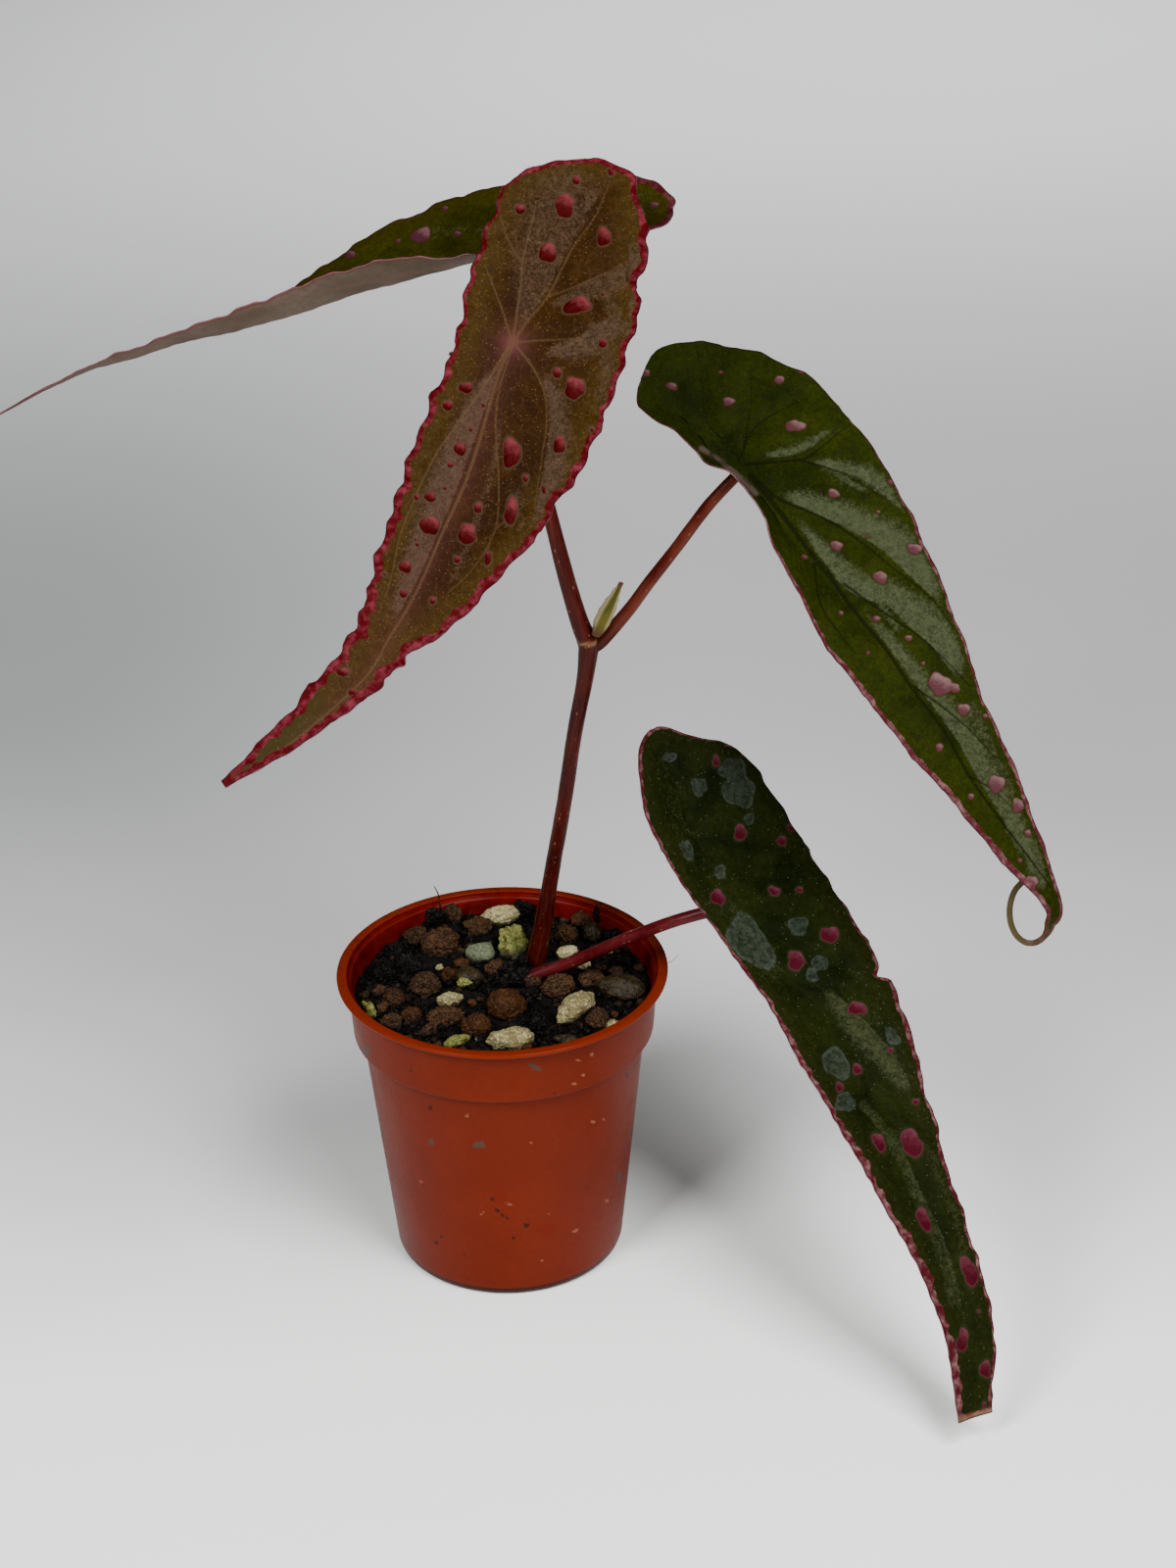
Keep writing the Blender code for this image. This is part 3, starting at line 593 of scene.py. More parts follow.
def sheath_finish():
    """A dry yellow-green sheath with cream edges and a brown tip."""
    wire = Finish("sheath")
    place = wire.measure("grain", "Vector")
    patches, mottling = wire.drift(wire.stretched(place, (1, 1, 0.3)), 2.0, 0.5)
    ribs = wire.noise(wire.stretched(place, (2.4, 2.4, 0.12)), 1.0, 2.0, 0.5)
    colour = wire.blend(patches, "sheath", "sheath light")
    colour = wire.blend(wire.fit(ribs, 0.45, 0.62, 0.0, 0.5), colour, "sheath rib")
    colour = wire.blend(wire.measure("wing"), colour, "sheath wing")
    colour = wire.blend(wire.measure("scar"), colour, "sheath brown")
    gloss = wire.blend_value(mottling, 0.45, 0.65)
    return wire.done(colour, gloss, wire.bump(ribs, 0.15, 0.6), SHINES["sheath"])


# Marks on the pot's outer wall, where the picture shows them: x, y, width, height, a turn
POT_MARKS = {
    "dirt": [
        (489, 1168, 13, 7, -8), (546, 1089, 12, 5, 20), (374, 1072, 8, 9), (632, 1202, 5, 10),
        (440, 1165, 6, 7), (675, 1070, 4, 10),
    ],
    "specks": [
        (439, 1130, 5, 5), (502, 1223, 5, 4), (507, 1235, 5, 4), (513, 1240, 4, 4),
        (537, 1250, 6, 5), (519, 1243, 3, 3), (445, 1268, 5, 4), (386, 1143, 5, 6),
        (389, 1157, 4, 5), (646, 1155, 4, 5), (451, 1262, 4, 3), (474, 1281, 5, 3),
        (404, 1250, 3, 4), (630, 1275, 6, 4), (615, 1287, 5, 3), (566, 1116, 3, 3),
        (640, 1098, 3, 4), (600, 1211, 3, 2), (524, 1263, 3, 3), (420, 1092, 3, 3),
    ],
    "nicks": [
        (477, 1138, 4, 4), (492, 1238, 6, 3, -20), (587, 1256, 8, 3, -30), (605, 1145, 5, 3),
        (619, 1225, 4, 4), (604, 1076, 4, 4), (586, 1106, 5, 3), (590, 1082, 5, 2),
        (542, 1166, 3, 2), (560, 1239, 4, 2), (430, 1206, 4, 3), (595, 1097, 4, 3),
        (520, 1229, 10, 2, 15), (478, 1290, 5, 2), (616, 1142, 3, 3), (553, 1286, 4, 2),
    ],
    "wet": [
        (509, 1220, 14, 16), (557, 1255, 20, 15), (590, 1300, 54, 14, -18),
    ],
}
# How torn and how soft the edges of those marks are
POT_TEARS = {"dirt": (0.5, 0.3), "specks": (0.35, 0.2), "nicks": (0.3, 0.2), "wet": (0.8, 0.7)}


def pot_rim_and_inside(wire, place, height, rim, colour):
    """Grime on the rim, most of it at the back, and a clean, darker red inside."""
    flat = wire.stretched(place, (1.0, 1.0, 0.0))
    reach = wire.put("ShaderNodeVectorMath", {0: flat}, operation="LENGTH").outputs["Value"]
    share = wire.times(rim, wire.fit(wire.axis(place, "Y"), -30.0, 20.0, 0.25, 0.8))
    grime = wire.fit(wire.noise(place, 0.7, 5.0, 0.72), 0.53, 0.64)
    colour = wire.blend(wire.times(grime, share), colour, "rim grime")
    slope = wire.times(wire.minus(height, 53.7), 0.06)
    inner = wire.fit(wire.minus(reach, slope), 31.35, 31.45, 1.0, 0.0)
    ledge = wire.times(rim, wire.fit(reach, 32.86, 32.9, 1.0, 0.0))
    inside = wire.times(wire.reckon("MAXIMUM", inner, ledge), wire.fit(height, 53.9, 54.0))
    inside_mottle = wire.fit(wire.noise(place, 0.22, 4.0, 0.6), 0.3, 0.7)
    red = wire.blend(inside_mottle, "plastic inside", "plastic inside light")
    return wire.blend(inside, colour, red)


def pot_finish():
    """Terracotta-coloured plastic: dull film, cleaner patches, crumbs, scuffs, painted shadows."""
    wire = Finish("terracotta plastic")
    place = wire.own_place()
    height = wire.axis(place, "Z")
    rim = wire.fit(height, 65.7, 65.9)
    patches, mottling = wire.drift(place, 16.0, 1.3)
    film = wire.noise(wire.stretched(place, (1, 1, 0.6)), 0.055, 4.0, 0.6)
    film = wire.fit(film, 0.36, 0.62, 0.0, 0.35)
    masks = {
        name: wire.torn(place, wire.measure(name), tear, 0.8, soft)[0]
        for name, (tear, soft) in POT_TEARS.items()}
    wet = wire.times(masks["wet"], 0.45)
    crumbs = wire.specks(place, 3.4, 0.05, 0.3)
    chalk = wire.specks(wire.stretched(place, (1.1, 1, 0.9)), 4.2, 0.034, 0.3)
    # Painted shadow: a thin dark line just under the collar's step
    collar_shadow_offset = wire.reckon("ABSOLUTE", wire.minus(height, 53.55))
    colour = wire.blend(patches, "plastic", "plastic light")
    colour = wire.blend(film, colour, "plastic film")
    colour = wire.over(colour, mottling, 0.25, "plastic mottle")
    colour = wire.over(colour, rim, 0.8, "plastic rim")
    colour = wire.blend(wet, colour, "plastic wet")
    colour = wire.over(colour, crumbs, 0.8, "pot crumb")
    colour = wire.over(colour, chalk, 0.6, "pot chalk")
    colour = wire.over(colour, masks["dirt"], 0.8, "pot dirt")
    colour = wire.over(colour, masks["specks"], 0.85, "pot speck")
    colour = wire.over(colour, masks["nicks"], 0.8, "pot nick")
    colour = wire.blend(wire.fit(collar_shadow_offset, 0.1, 0.42, 0.7, 0.0), colour, "pot painted collar shadow")
    # Painted shadow: a dark band along the foot, where the pot meets the floor
    colour = wire.blend(wire.fit(height, 1.5, 2.3, 0.9, 0.0), colour, "pot painted contact shadow")
    colour = pot_rim_and_inside(wire, place, height, rim, colour)
    relief, _ = wire.grain(place, 1.4, 0.5)
    drawn = wire.noise(wire.stretched(place, (0.8, 0.8, 0.02)), 1.0, 2.0, 0.5)
    relief = wire.plus(relief, wire.times(drawn, 0.6))
    relief = wire.plus(relief, wire.times(masks["dirt"], 2.0))
    gloss = wire.plus(wire.blend_value(film, 0.28, 0.5), wire.times(mottling, 0.06))
    gloss = wire.blend_value(wet, gloss, 0.22)
    return wire.done(colour, gloss, wire.bump(relief, 0.04, 0.35), SHINES["plastic"])


# Stones: dark tone (also their painted shade in pits), light tone, fleck (also their painted
# highlight on lumps), size of lumps and pits, roughness, bump depth
STONE_LOOKS = {
    "pumice": ((0.11, 0.088, 0.036), (0.33, 0.29, 0.15), (0.045, 0.03, 0.012),
               1.2, 0.7, 0.85, 0.4),
    "zeolite": ((0.026, 0.032, 0.015), (0.088, 0.103, 0.056), (0.15, 0.16, 0.105),
                0.9, 0.5, 0.7, 0.28),
    "lava": ((0.0012, 0.0006, 0.0003), (0.036, 0.0138, 0.0038), (0.108, 0.052, 0.018),
             0.7, 0.45, 0.62, 0.7),
    "lava_gold": ((0.0022, 0.0007, 0.0001), (0.0275, 0.0074, 0.0003), (0.1, 0.036, 0.004),
                  0.8, 0.45, 0.62, 0.65),
    "pebble": ((0.0035, 0.0024, 0.0006), (0.013, 0.0084, 0.0014), (0.056, 0.041, 0.018),
               1.4, 0.9, 0.6, 0.32),
    "bark": ((0.0001, 0.0001, 0.0001), (0.0016, 0.0012, 0.0009), (0.036, 0.03, 0.024),
             0.9, 0.5, 0.45, 0.65),
    "scrap": ((0.034, 0.044, 0.004), (0.15, 0.145, 0.04), (0.08, 0.052, 0.015),
              1.3, 0.8, 0.6, 0.3),
}


def stone_finish(kind):
    """Mottled, flecked stone; painted highlight on lumps, painted shade in pits and sunk parts."""
    dark, light, fleck, lump, pit, rough, depth = STONE_LOOKS[kind]
    barky = kind == "bark"
    wire = Finish("stone " + kind)
    own = wire.own_place()
    place = wire.stretched(own, (1.0, 0.45, 1.0)) if barky else own
    patches, mottling = wire.drift(place, 2.6, 0.55)
    height, pits = wire.grain(place, lump, pit)
    tint = wire.times(wire.plus(patches, wire.measure("tint")), 0.5)
    pale = wire.fit(wire.blend_value(0.5, tint, mottling), 0.26, 0.76)
    colour = wire.blend(pale, dark, light)
    colour = wire.over(colour, wire.specks(place, 0.42, 0.3, 0.32), 0.55, fleck)
    # Painted highlight: the tops of the lumps turn toward the fleck paint
    painted_crest_highlight = wire.fit(height, 0.62, 0.95, 0.0, 0.1 if barky else 0.22)
    colour = wire.blend(painted_crest_highlight, colour, fleck)
    # Painted shade: the pits darken to the dark tone
    colour = wire.blend(wire.fit(pits, 0.0, 0.6, 0.9, 0.0), colour, dark)
    # Painted shade: darker low down, where the stone sinks into the mix
    level = wire.minus(wire.axis(own, "Z"), wire.times(wire.axis(own, "Y"), MIX_SLOPE))
    colour = wire.blend(wire.fit(level, 61.1, 62.7, 0.85, 0.0), colour, "stone painted contact shade")
    gloss = wire.blend_value(mottling, rough - 0.12, rough + 0.06)
    shine = SHINES["bark" if barky else "stone"]
    return wire.done(colour, gloss, wire.bump(height, depth, 0.8), shine)


def mix_finish():
    """Black crumbled bark with brown lava crumbs in it."""
    wire = Finish("potting mix")
    place = wire.own_place()
    patches, mottling = wire.drift(place, 4.0, 0.8)
    height, _ = wire.grain(place, 1.5, 0.8)
    colour = wire.blend(patches, "mix", "mix light")
    colour = wire.over(colour, wire.specks(place, 0.9, 0.38, 0.25), 0.4, "mix crumb")
    gloss = wire.blend_value(mottling, 0.6, 0.95)
    return wire.done(colour, gloss, wire.bump(height, 0.5, 0.9), SHINES["mix"])


def fibre_finish():
    wire = Finish("root fibre")
    patches, _ = wire.drift(wire.own_place(), 3.0, 0.5)
    return wire.done(wire.blend(patches, "fibre", "fibre light"), 0.6, None, SHINES["fibre"])


# ---------------------------------------------------------------- making pieces


def add_piece(name, bm, looks, nodes=(), smooth_angle=60.0):
    """Turn a mesh in millimetres into a piece in metres that rides with the plant."""
    bmesh.ops.transform(bm, matrix=Matrix.Scale(MM, 4), verts=bm.verts)
    mesh = bpy.data.meshes.new(name)
    bm.to_mesh(mesh)
    bm.free()
    mesh.shade_smooth()
    mesh.set_sharp_from_angle(angle=math.radians(smooth_angle))
    for look in looks:
        mesh.materials.append(look)
    piece = bpy.data.objects.new(name, mesh)
    bpy.context.scene.collection.objects.link(piece)
    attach(piece, "root")
    if nodes:
        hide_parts(*nodes)
    return piece


def keep_measure(mesh, name, values):
    """Store one number for each vertex."""
    layer = mesh.attributes.new(name, "FLOAT", "POINT")
    layer.data.foreach_set("value", np.asarray(values, dtype=np.float32).ravel())


def kept_vectors(mesh, name):
    """The vector kept on each vertex."""
    values = np.zeros(len(mesh.vertices) * 3)
    mesh.attributes[name].data.foreach_get("vector", values)
    return values.reshape(-1, 3)


def turned(profile, segments):
    """Spin a closed profile of (radius, height) pairs round Z."""
    bm = bmesh.new()
    verts = [bm.verts.new((radius, 0.0, height)) for radius, height in profile]
    edges = [bm.edges.new(pair) for pair in zip(verts, verts[1:])]
    bmesh.ops.spin(
        bm, geom=verts + edges, cent=(0, 0, 0), axis=(0, 0, 1),
        angle=math.tau, steps=segments, use_merge=True)
    bmesh.ops.remove_doubles(bm, verts=bm.verts, dist=0.001)
    bmesh.ops.recalc_face_normals(bm, faces=bm.faces)
    return bm


# ---------------------------------------------------------------- pot

POT_HEIGHT = 67.0
BEAD_RADIUS = 35.0
COLLAR_TOP_RADIUS = 32.7
COLLAR_LOW_RADIUS = 31.9
COLLAR_HEIGHT = 13.3
BODY_TOP_RADIUS = 30.1
BASE_RADIUS = 24.4
WALL = 0.9
FLOOR_TOP = 2.2
CHANNEL_TOP = 1.2
CHANNEL_INNER, CHANNEL_OUTER = 9.0, 17.0
CHANNEL_SLOPE = 0.4
POT_SEGMENTS = 300
DRAIN_HOLES = 6
DRAIN_RADIUS = 2.0
DRAIN_CIRCLE = 13.0
DRAIN_RINGS = [15.1, 14.4, 13.7, 13.0, 12.3, 11.6, 10.9]
WALL_EDGE = 2.0
WALL_CUTS = 20
OUTER_SHARE = 0.985
BACK_OF_MARKS = 4.0
# What a mark's depth reads where there is no mark
NO_MARK = -3.0


def body_radius(height):
    share = height / (POT_HEIGHT - COLLAR_HEIGHT)
    return BASE_RADIUS + (BODY_TOP_RADIUS - BASE_RADIUS) * share


def pot_profile():
    """Round the rim bead, down the collar and body, under the base and up the inside."""
    top = POT_HEIGHT
    low = top - COLLAR_HEIGHT
    bead = [
        (1.9, 0.0), (0.5, 0.02), (0.2, 0.1), (0.05, 0.25),
        (0.0, 0.5), (0.05, 0.8), (0.2, 0.98), (0.5, 1.1)]
    outside = [(BEAD_RADIUS - inward, top - down) for inward, down in bead]
    outside += [
        (COLLAR_TOP_RADIUS + 0.3, top - 1.3), (COLLAR_TOP_RADIUS, top - 1.6),
        (COLLAR_TOP_RADIUS - 0.4, top - 8.0), (COLLAR_LOW_RADIUS + 0.04, low + 0.26),
        (COLLAR_LOW_RADIUS, low + 0.1), (COLLAR_LOW_RADIUS - 0.1, low + 0.02),
        (BODY_TOP_RADIUS + 0.35, low - 0.1), (BODY_TOP_RADIUS + 0.08, low - 0.3),
        (body_radius(low - 1.4), low - 1.4), (body_radius(36.0), 36.0),
        (body_radius(20.0), 20.0), (body_radius(3.4), 3.4), (body_radius(1.6), 1.6),
        (BASE_RADIUS - 0.15, 0.75), (BASE_RADIUS - 0.5, 0.3),
        (BASE_RADIUS - 1.0, 0.07), (BASE_RADIUS - 1.5, 0.0),
    ]
    under = [(CHANNEL_OUTER, 0.0), (CHANNEL_OUTER - CHANNEL_SLOPE, CHANNEL_TOP)]
    under += [(radius, CHANNEL_TOP) for radius in DRAIN_RINGS]
    under += [(CHANNEL_INNER + CHANNEL_SLOPE, CHANNEL_TOP), (CHANNEL_INNER, 0.0), (0.0, 0.0)]
    throat = COLLAR_TOP_RADIUS - WALL
    inside = [(0.0, FLOOR_TOP)]
    inside += [(radius, FLOOR_TOP) for radius in reversed(DRAIN_RINGS)]
    inside += [
        (CHANNEL_OUTER, FLOOR_TOP), (body_radius(2.2) - WALL - 0.6, FLOOR_TOP),
        (body_radius(2.8) - WALL, 2.8), (body_radius(30.0) - WALL, 30.0),
        (BODY_TOP_RADIUS - WALL, low - 0.6), (COLLAR_LOW_RADIUS - WALL, low + 0.8),
        (throat, top - 2.6), (throat + 0.18, top - 1.5), (throat + 0.5, top - 1.1),
        (throat + 0.62, top - 1.0), (throat + 0.95, top - 0.92), (throat + 1.02, top - 0.8),
        (throat + 1.06, top - 0.2), (throat + 1.14, top - 0.05),
    ]
    return outside + under + inside + [outside[0]]


def drill_drains(bm):
    """Open each drain hole through the floor and give it a round wall."""
    for hole in range(DRAIN_HOLES):
        angle = math.tau * (hole + 0.5) / DRAIN_HOLES
        centre = Vector((math.cos(angle), math.sin(angle))) * DRAIN_CIRCLE
        near = []
        for face in bm.faces:
            middle = face.calc_center_median()
            if middle.z < FLOOR_TOP + 0.8 and (middle.xy - centre).length < DRAIN_RADIUS + 0.1:
                near.append(face)
        bmesh.ops.delete(bm, geom=near, context="FACES")
        edges = [edge for edge in bm.edges if edge.is_boundary]
        for vert in {vert for edge in edges for vert in edge.verts}:
            place = centre + (vert.co.xy - centre).normalized() * DRAIN_RADIUS
            vert.co.x, vert.co.y = place
        bmesh.ops.bridge_loops(bm, edges=edges)


def long_wall_edges(bm):
    """The upright edges of the outer wall, which need more points to carry its marks."""
    edges = []
    for edge in bm.edges:
        ends = [vert.co for vert in edge.verts]
        nearest = min(end.xy.length / body_radius(end.z) for end in ends)
        if abs(ends[0].z - ends[1].z) > WALL_EDGE and nearest > OUTER_SHARE:
            edges.append(edge)
    return edges


def make_pot():
    bm = turned(pot_profile(), POT_SEGMENTS)
    drill_drains(bm)
    bmesh.ops.recalc_face_normals(bm, faces=bm.faces)
    bmesh.ops.subdivide_edges(bm, edges=long_wall_edges(bm), cuts=WALL_CUTS)
    piece = add_piece("nursery_pot", bm, [pot_finish()], ["pot"], 50.0)
    places = kept_vectors(piece.data, "position").reshape(-1, 1, 3) / MM
    seen = picture_place(places)
    outer = np.hypot(places[..., 0], places[..., 1]) > body_radius(places[..., 2]) - WALL / 2
    outer &= (places[..., 1] < BACK_OF_MARKS) & (places[..., 2] < POT_HEIGHT - 1.2)
    for name, marks in POT_MARKS.items():
        depth = mark_depth(seen, marks)[0]
        keep_measure(piece.data, name, np.where(outer, depth, NO_MARK))


# ---------------------------------------------------------------- leaves

LEAF_THICKNESS = 0.6
EDGE_SHARE = 0.5
ROUND_END = 0.05
CURL_CENTRE = (104.6, 98.2)
CURL_RADII = (3.8, 6.2)
THREAD_WIDTH = 0.28
THREAD_TAPER = 0.085
CURL_DEPTHS = (-42.0, -36.0)
CURL_START = 20.0
CURL_TURN = 272.0
CURL_POINTS = 9
FAINT_BLUSH = 0.25
MOST_BLUSH = 0.8
VEIN_BLUSH = 0.24
VEIN_BLUSH_REACH = 13.0
# How far in from its edge a blade is flatter, its spots lower, its painted reflection
# weaker, and the blade thinner
RELIEF_MARGIN, SPOT_MARGIN, PAINTED_SHEEN_MARGIN, THIN_MARGIN = 3.0, 0.8, 2.0, 2.5
PILLOW_REACH = 2.4
# Ripples over a blade: scale and seed
SLOW_RIPPLE, QUICK_RIPPLE = (0.11, 3.0), (0.5, 8.0)
QUICK_RIPPLE_HEIGHT = 0.1
ROW_CROWDING = 1.2
LEAST_REACH = 0.6
WAVY_WIDTH = 6.0
WAVE_STEEPNESS = 7
CURL_STEEPNESS = 11
CURL_PITCH_SHARE = 0.47

# The form of each blade: the middle vein's points as in the solids, and half widths, rises
# and waves that follow the picture a little closer than theirs. The bands are the pink
# margin's width at even stations, and "uneven" how it varies. Teeth are a height and a
# pitch; notches a side, a place, a half width and a share cut away.
# Pillow, blister and ripple are relief: between veins, at spots and over the whole blade.
LEAVES = {
    "front": {
        "vein": [(21, 5, 240.5), (12.5, -5, 225.5), (5, -16, 210.5), (-2.5, -27, 194.5),
                 (-9, -38.5, 179.5), (-18, -50, 165.5), (-33, -59.5, 156), (-50, -66, 147)],
        "left": [7.5, 12.5, 12.2, 10.2, 10.9, 11.5, 11.2, 9.2, 6.6, 3.7, 0.8],
        "right": [11.5, 20.5, 21.5, 22, 21.3, 17.4, 11, 4.5, 2.5, 2, 0.8],
        "left_rise": [12], "right_rise": [12],
        "facing": (0.0, -0.8, 0.6),
        "wave_pitch": 6.6, "wave_lift": 0.6, "scallop": 0.5,
        "rows": 380, "columns": 92, "teeth": (0.26, 3.1),
        "band_left": [0.9, 0.7, 0.8, 1.0, 1.2, 1.4, 1.6, 1.9, 1.8, 1.4, 1.3],
        "band_right": [1.1, 1.4, 0.9, 1.0, 1.2, 1.4, 1.6, 1.9, 1.7, 1.3, 1.2],
        "notches": [
            ("right", 101.0, 1.2, 0.42), ("right", 106.5, 0.8, 0.25), ("right", 98.5, 1.2, -0.14)],
        "pillow": 0.38, "blister": 0.6, "curl": 0.3,
        "ripple": 0.3, "crease": 0.6, "uneven": 0.28,
    },
    "rear": {
        "vein": [(38, 18, 226.5), (18.5, 18, 221.5), (-1, 18, 217), (-20.5, 18, 212),
                 (-40, 18, 206), (-59.5, 18, 201.5), (-79, 18, 196), (-97, 18, 187.5)],
        "left": [4, 16, 20.5, 20, 18, 15, 11.5, 8.5, 6, 3.5, 0.8],
        "right": [5.5, 11, 12.5, 13, 12.5, 11.5, 10, 8.5, 6.5, 4, 0.8],
        "left_rise": [45, 28, 22, 22, 20, 12, 0, -8, -12, -12, -10],
        "right_rise": [0, -4, 10, 26, 41, 45, 43, 36, 30, 22, 20],
        "facing": (0.0, 0.0, 1.0),
        "wave_pitch": 9.0, "wave_lift": 0.25, "scallop": 0.2,
        "rows": 240, "columns": 64, "teeth": (0.3, 3.1),
        "band_left": [1.3, 0.8, 0.4, 0.4, 0.35, 0.35, 0.3, 0.3, 0.3, 0.3, 0.3],
        "band_right": [1.3, 0.8, 0.35, 0.35, 0.5, 0.5, 0.4, 0.4, 0.4, 0.3, 0.3],
        "notches": [("left", 73.0, 2.2, 0.1)],
        "pillow": 0.35, "blister": 0.15, "curl": 0.1,
        "ripple": 0.25, "crease": 0.1, "uneven": 0.3,
    },
    "right": {
        "vein": [(30.5, 18, 190.5), (44, 10, 180), (56, 0, 170), (67, -10.5, 158),
                 (78, -20.5, 146.5), (88.5, -29.5, 133.5), (98.5, -37, 119),
                 (108.3, -42, 103)],
        "left": [4.5, 5.2, 6, 6.5, 8, 9.5, 9, 8.5, 6.5, 5, 2.2],
        "right": [14, 22.5, 25, 24.5, 22, 18.5, 14.5, 10, 8, 5, 2],
        "left_rise": [5, 40, 68, 60, 30, 10, 0, 0, 0, 0, 0], "right_rise": [0],
        "round_end": 0.032,
        "facing": (0.1, -0.8, 0.6),
        "wave_pitch": 8.5, "wave_lift": 0.15, "scallop": 0.14,
        "rows": 370, "columns": 88, "teeth": (0.18, 3.4),
        "band_left": [0.2, 0.1, 0.2, 0.3, 0.6, 0.8, 1.0, 1.0, 1.1, 1.3, 1.0],
        "band_right": [0.1, 0.1, 0.1, 0.2, 0.5, 0.7, 0.5, 0.6, 0.8, 0.9, 0.6],
        "notches": [],
        "pillow": 0.35, "blister": 0.14, "curl": 0.1,
        "ripple": 0.2, "crease": 0.12, "uneven": 0.18,
    },
    "low": {
        "vein": [(33.5, 14, 114.5), (40.5, 4, 95.5), (49.5, -12, 82.5), (60.5, -27.5, 70.5),
                 (71.5, -42.5, 58), (80.5, -57.5, 43.5), (87.5, -70, 26), (91, -80, 6.5)],
        "left": [6, 10.2, 9.2, 6.7, 6, 8.2, 8.8, 7.8, 5.2, 3.7, 4.2],
        "right": [7, 20.2, 23, 23, 22, 19.2, 13.8, 10.2, 9, 8.3, 4.5],
        "left_rise": [10], "right_rise": [6],
        "facing": (0.45, -0.7, 0.5),
        "wave_pitch": 9.5, "wave_lift": 0.25, "scallop": 0.2,
        "rows": 370, "columns": 84, "teeth": (0.22, 3.8),
        "band_left": [0.7, 0.8, 0.4, 0.5, 0.9, 1.0, 1.2, 1.4, 1.7, 1.7, 1.5],
        "band_right": [0.5, 0.1, 0.2, 0.2, 0.7, 1.2, 0.8, 0.9, 0.7, 0.7, 0.9],
        "notches": [("right", 68.5, 1.3, 0.09), ("right", 73.5, 3.0, -0.04)],
        "pillow": 0.4, "blister": 0.12, "curl": 0.15,
        "ripple": 0.3, "crease": 0.3, "uneven": 0.3,
    },
}

# Spots: x, y, width and height in the picture, and a turn in degrees where they lean
SPOTS = {
    "front": [
        (576, 211, 17, 24), (530, 214, 9, 9), (588, 185, 7, 8), (559, 259, 16, 18),
        (617, 243, 12, 17), (590, 313, 27, 15, -14), (616, 352, 7, 9), (569, 381, 8, 10),
        (587, 397, 18, 21, 20), (475, 396, 13, 9), (456, 414, 9, 9), (493, 414, 4, 4),
        (480, 439, 4, 4), (605, 439, 4, 5), (469, 459, 11, 12), (459, 475, 5, 5),
        (523, 463, 17, 28), (572, 455, 11, 17), (537, 489, 5, 7), (556, 500, 4, 8),
        (438, 508, 10, 9), (488, 519, 7, 10), (522, 523, 11, 27, 8), (438, 537, 19, 16),
        (477, 546, 16, 20), (453, 499, 4, 4), (425, 556, 4, 4), (499, 570, 6, 13),
        (413, 579, 11, 11), (411, 606, 7, 7), (442, 614, 5, 6), (467, 572, 6, 7),
        (349, 686, 12, 7), (359, 707, 7, 6), (516, 177, 6, 5), (624, 176, 6, 7),
        (616, 302, 4, 4), (392, 586, 3, 3), (424, 508, 5, 5),
    ],
    "rear": [
        (455, 216, 7, 6), (431, 242, 21, 13, -25), (467, 240, 9, 6), (407, 248, 6, 5),
        (359, 262, 10, 9), (668, 210, 9, 6), (318, 279, 4, 3), (540, 200, 16, 9),
        (600, 188, 12, 8), (575, 226, 10, 8), (520, 232, 7, 6), (634, 222, 8, 6),
    ],
    "right": [
        (811, 436, 21, 11), (685, 395, 11, 7, 20), (743, 411, 12, 8), (795, 389, 10, 8),
        (659, 381, 8, 7), (735, 381, 5, 3), (850, 505, 12, 8, 20), (933, 561, 15, 10),
        (853, 558, 12, 9, 30), (898, 590, 15, 12, 30), (819, 570, 7, 5), (857, 627, 5, 5),
        (894, 632, 8, 5), (885, 667, 4, 4), (927, 652, 8, 6), (941, 678, 5, 4),
        (959, 699, 25, 19, 35), (974, 703, 9, 9), (983, 724, 12, 11), (896, 523, 5, 4),
        (958, 763, 7, 9), (1016, 800, 16, 16, 35), (1038, 822, 12, 14), (990, 813, 6, 6),
        (1048, 850, 7, 7), (1040, 878, 5, 5), (1052, 900, 12, 14), (885, 548, 3, 3),
        (817, 380, 7, 4), (909, 492, 6, 6), (1005, 731, 6, 5),
    ],
    "low": [
        (755, 850, 12, 17), (797, 859, 9, 10), (731, 917, 16, 14, 45), (789, 911, 12, 9, 30),
        (815, 910, 7, 6), (846, 956, 19, 15), (812, 981, 16, 21), (874, 1030, 19, 13),
        (874, 1092, 9, 11), (856, 1110, 8, 11), (908, 1073, 6, 6), (934, 1125, 7, 6),
        (929, 1168, 18, 30, -25), (895, 1167, 11, 20, -25), (940, 1245, 12, 26, -20),
        (988, 1298, 14, 31, -22), (980, 1368, 12, 24, 12), (1004, 1397, 11, 18),
        (1003, 1434, 4, 8), (729, 777, 7, 12), (997, 1338, 4, 4), (807, 845, 10, 8),
    ],
}

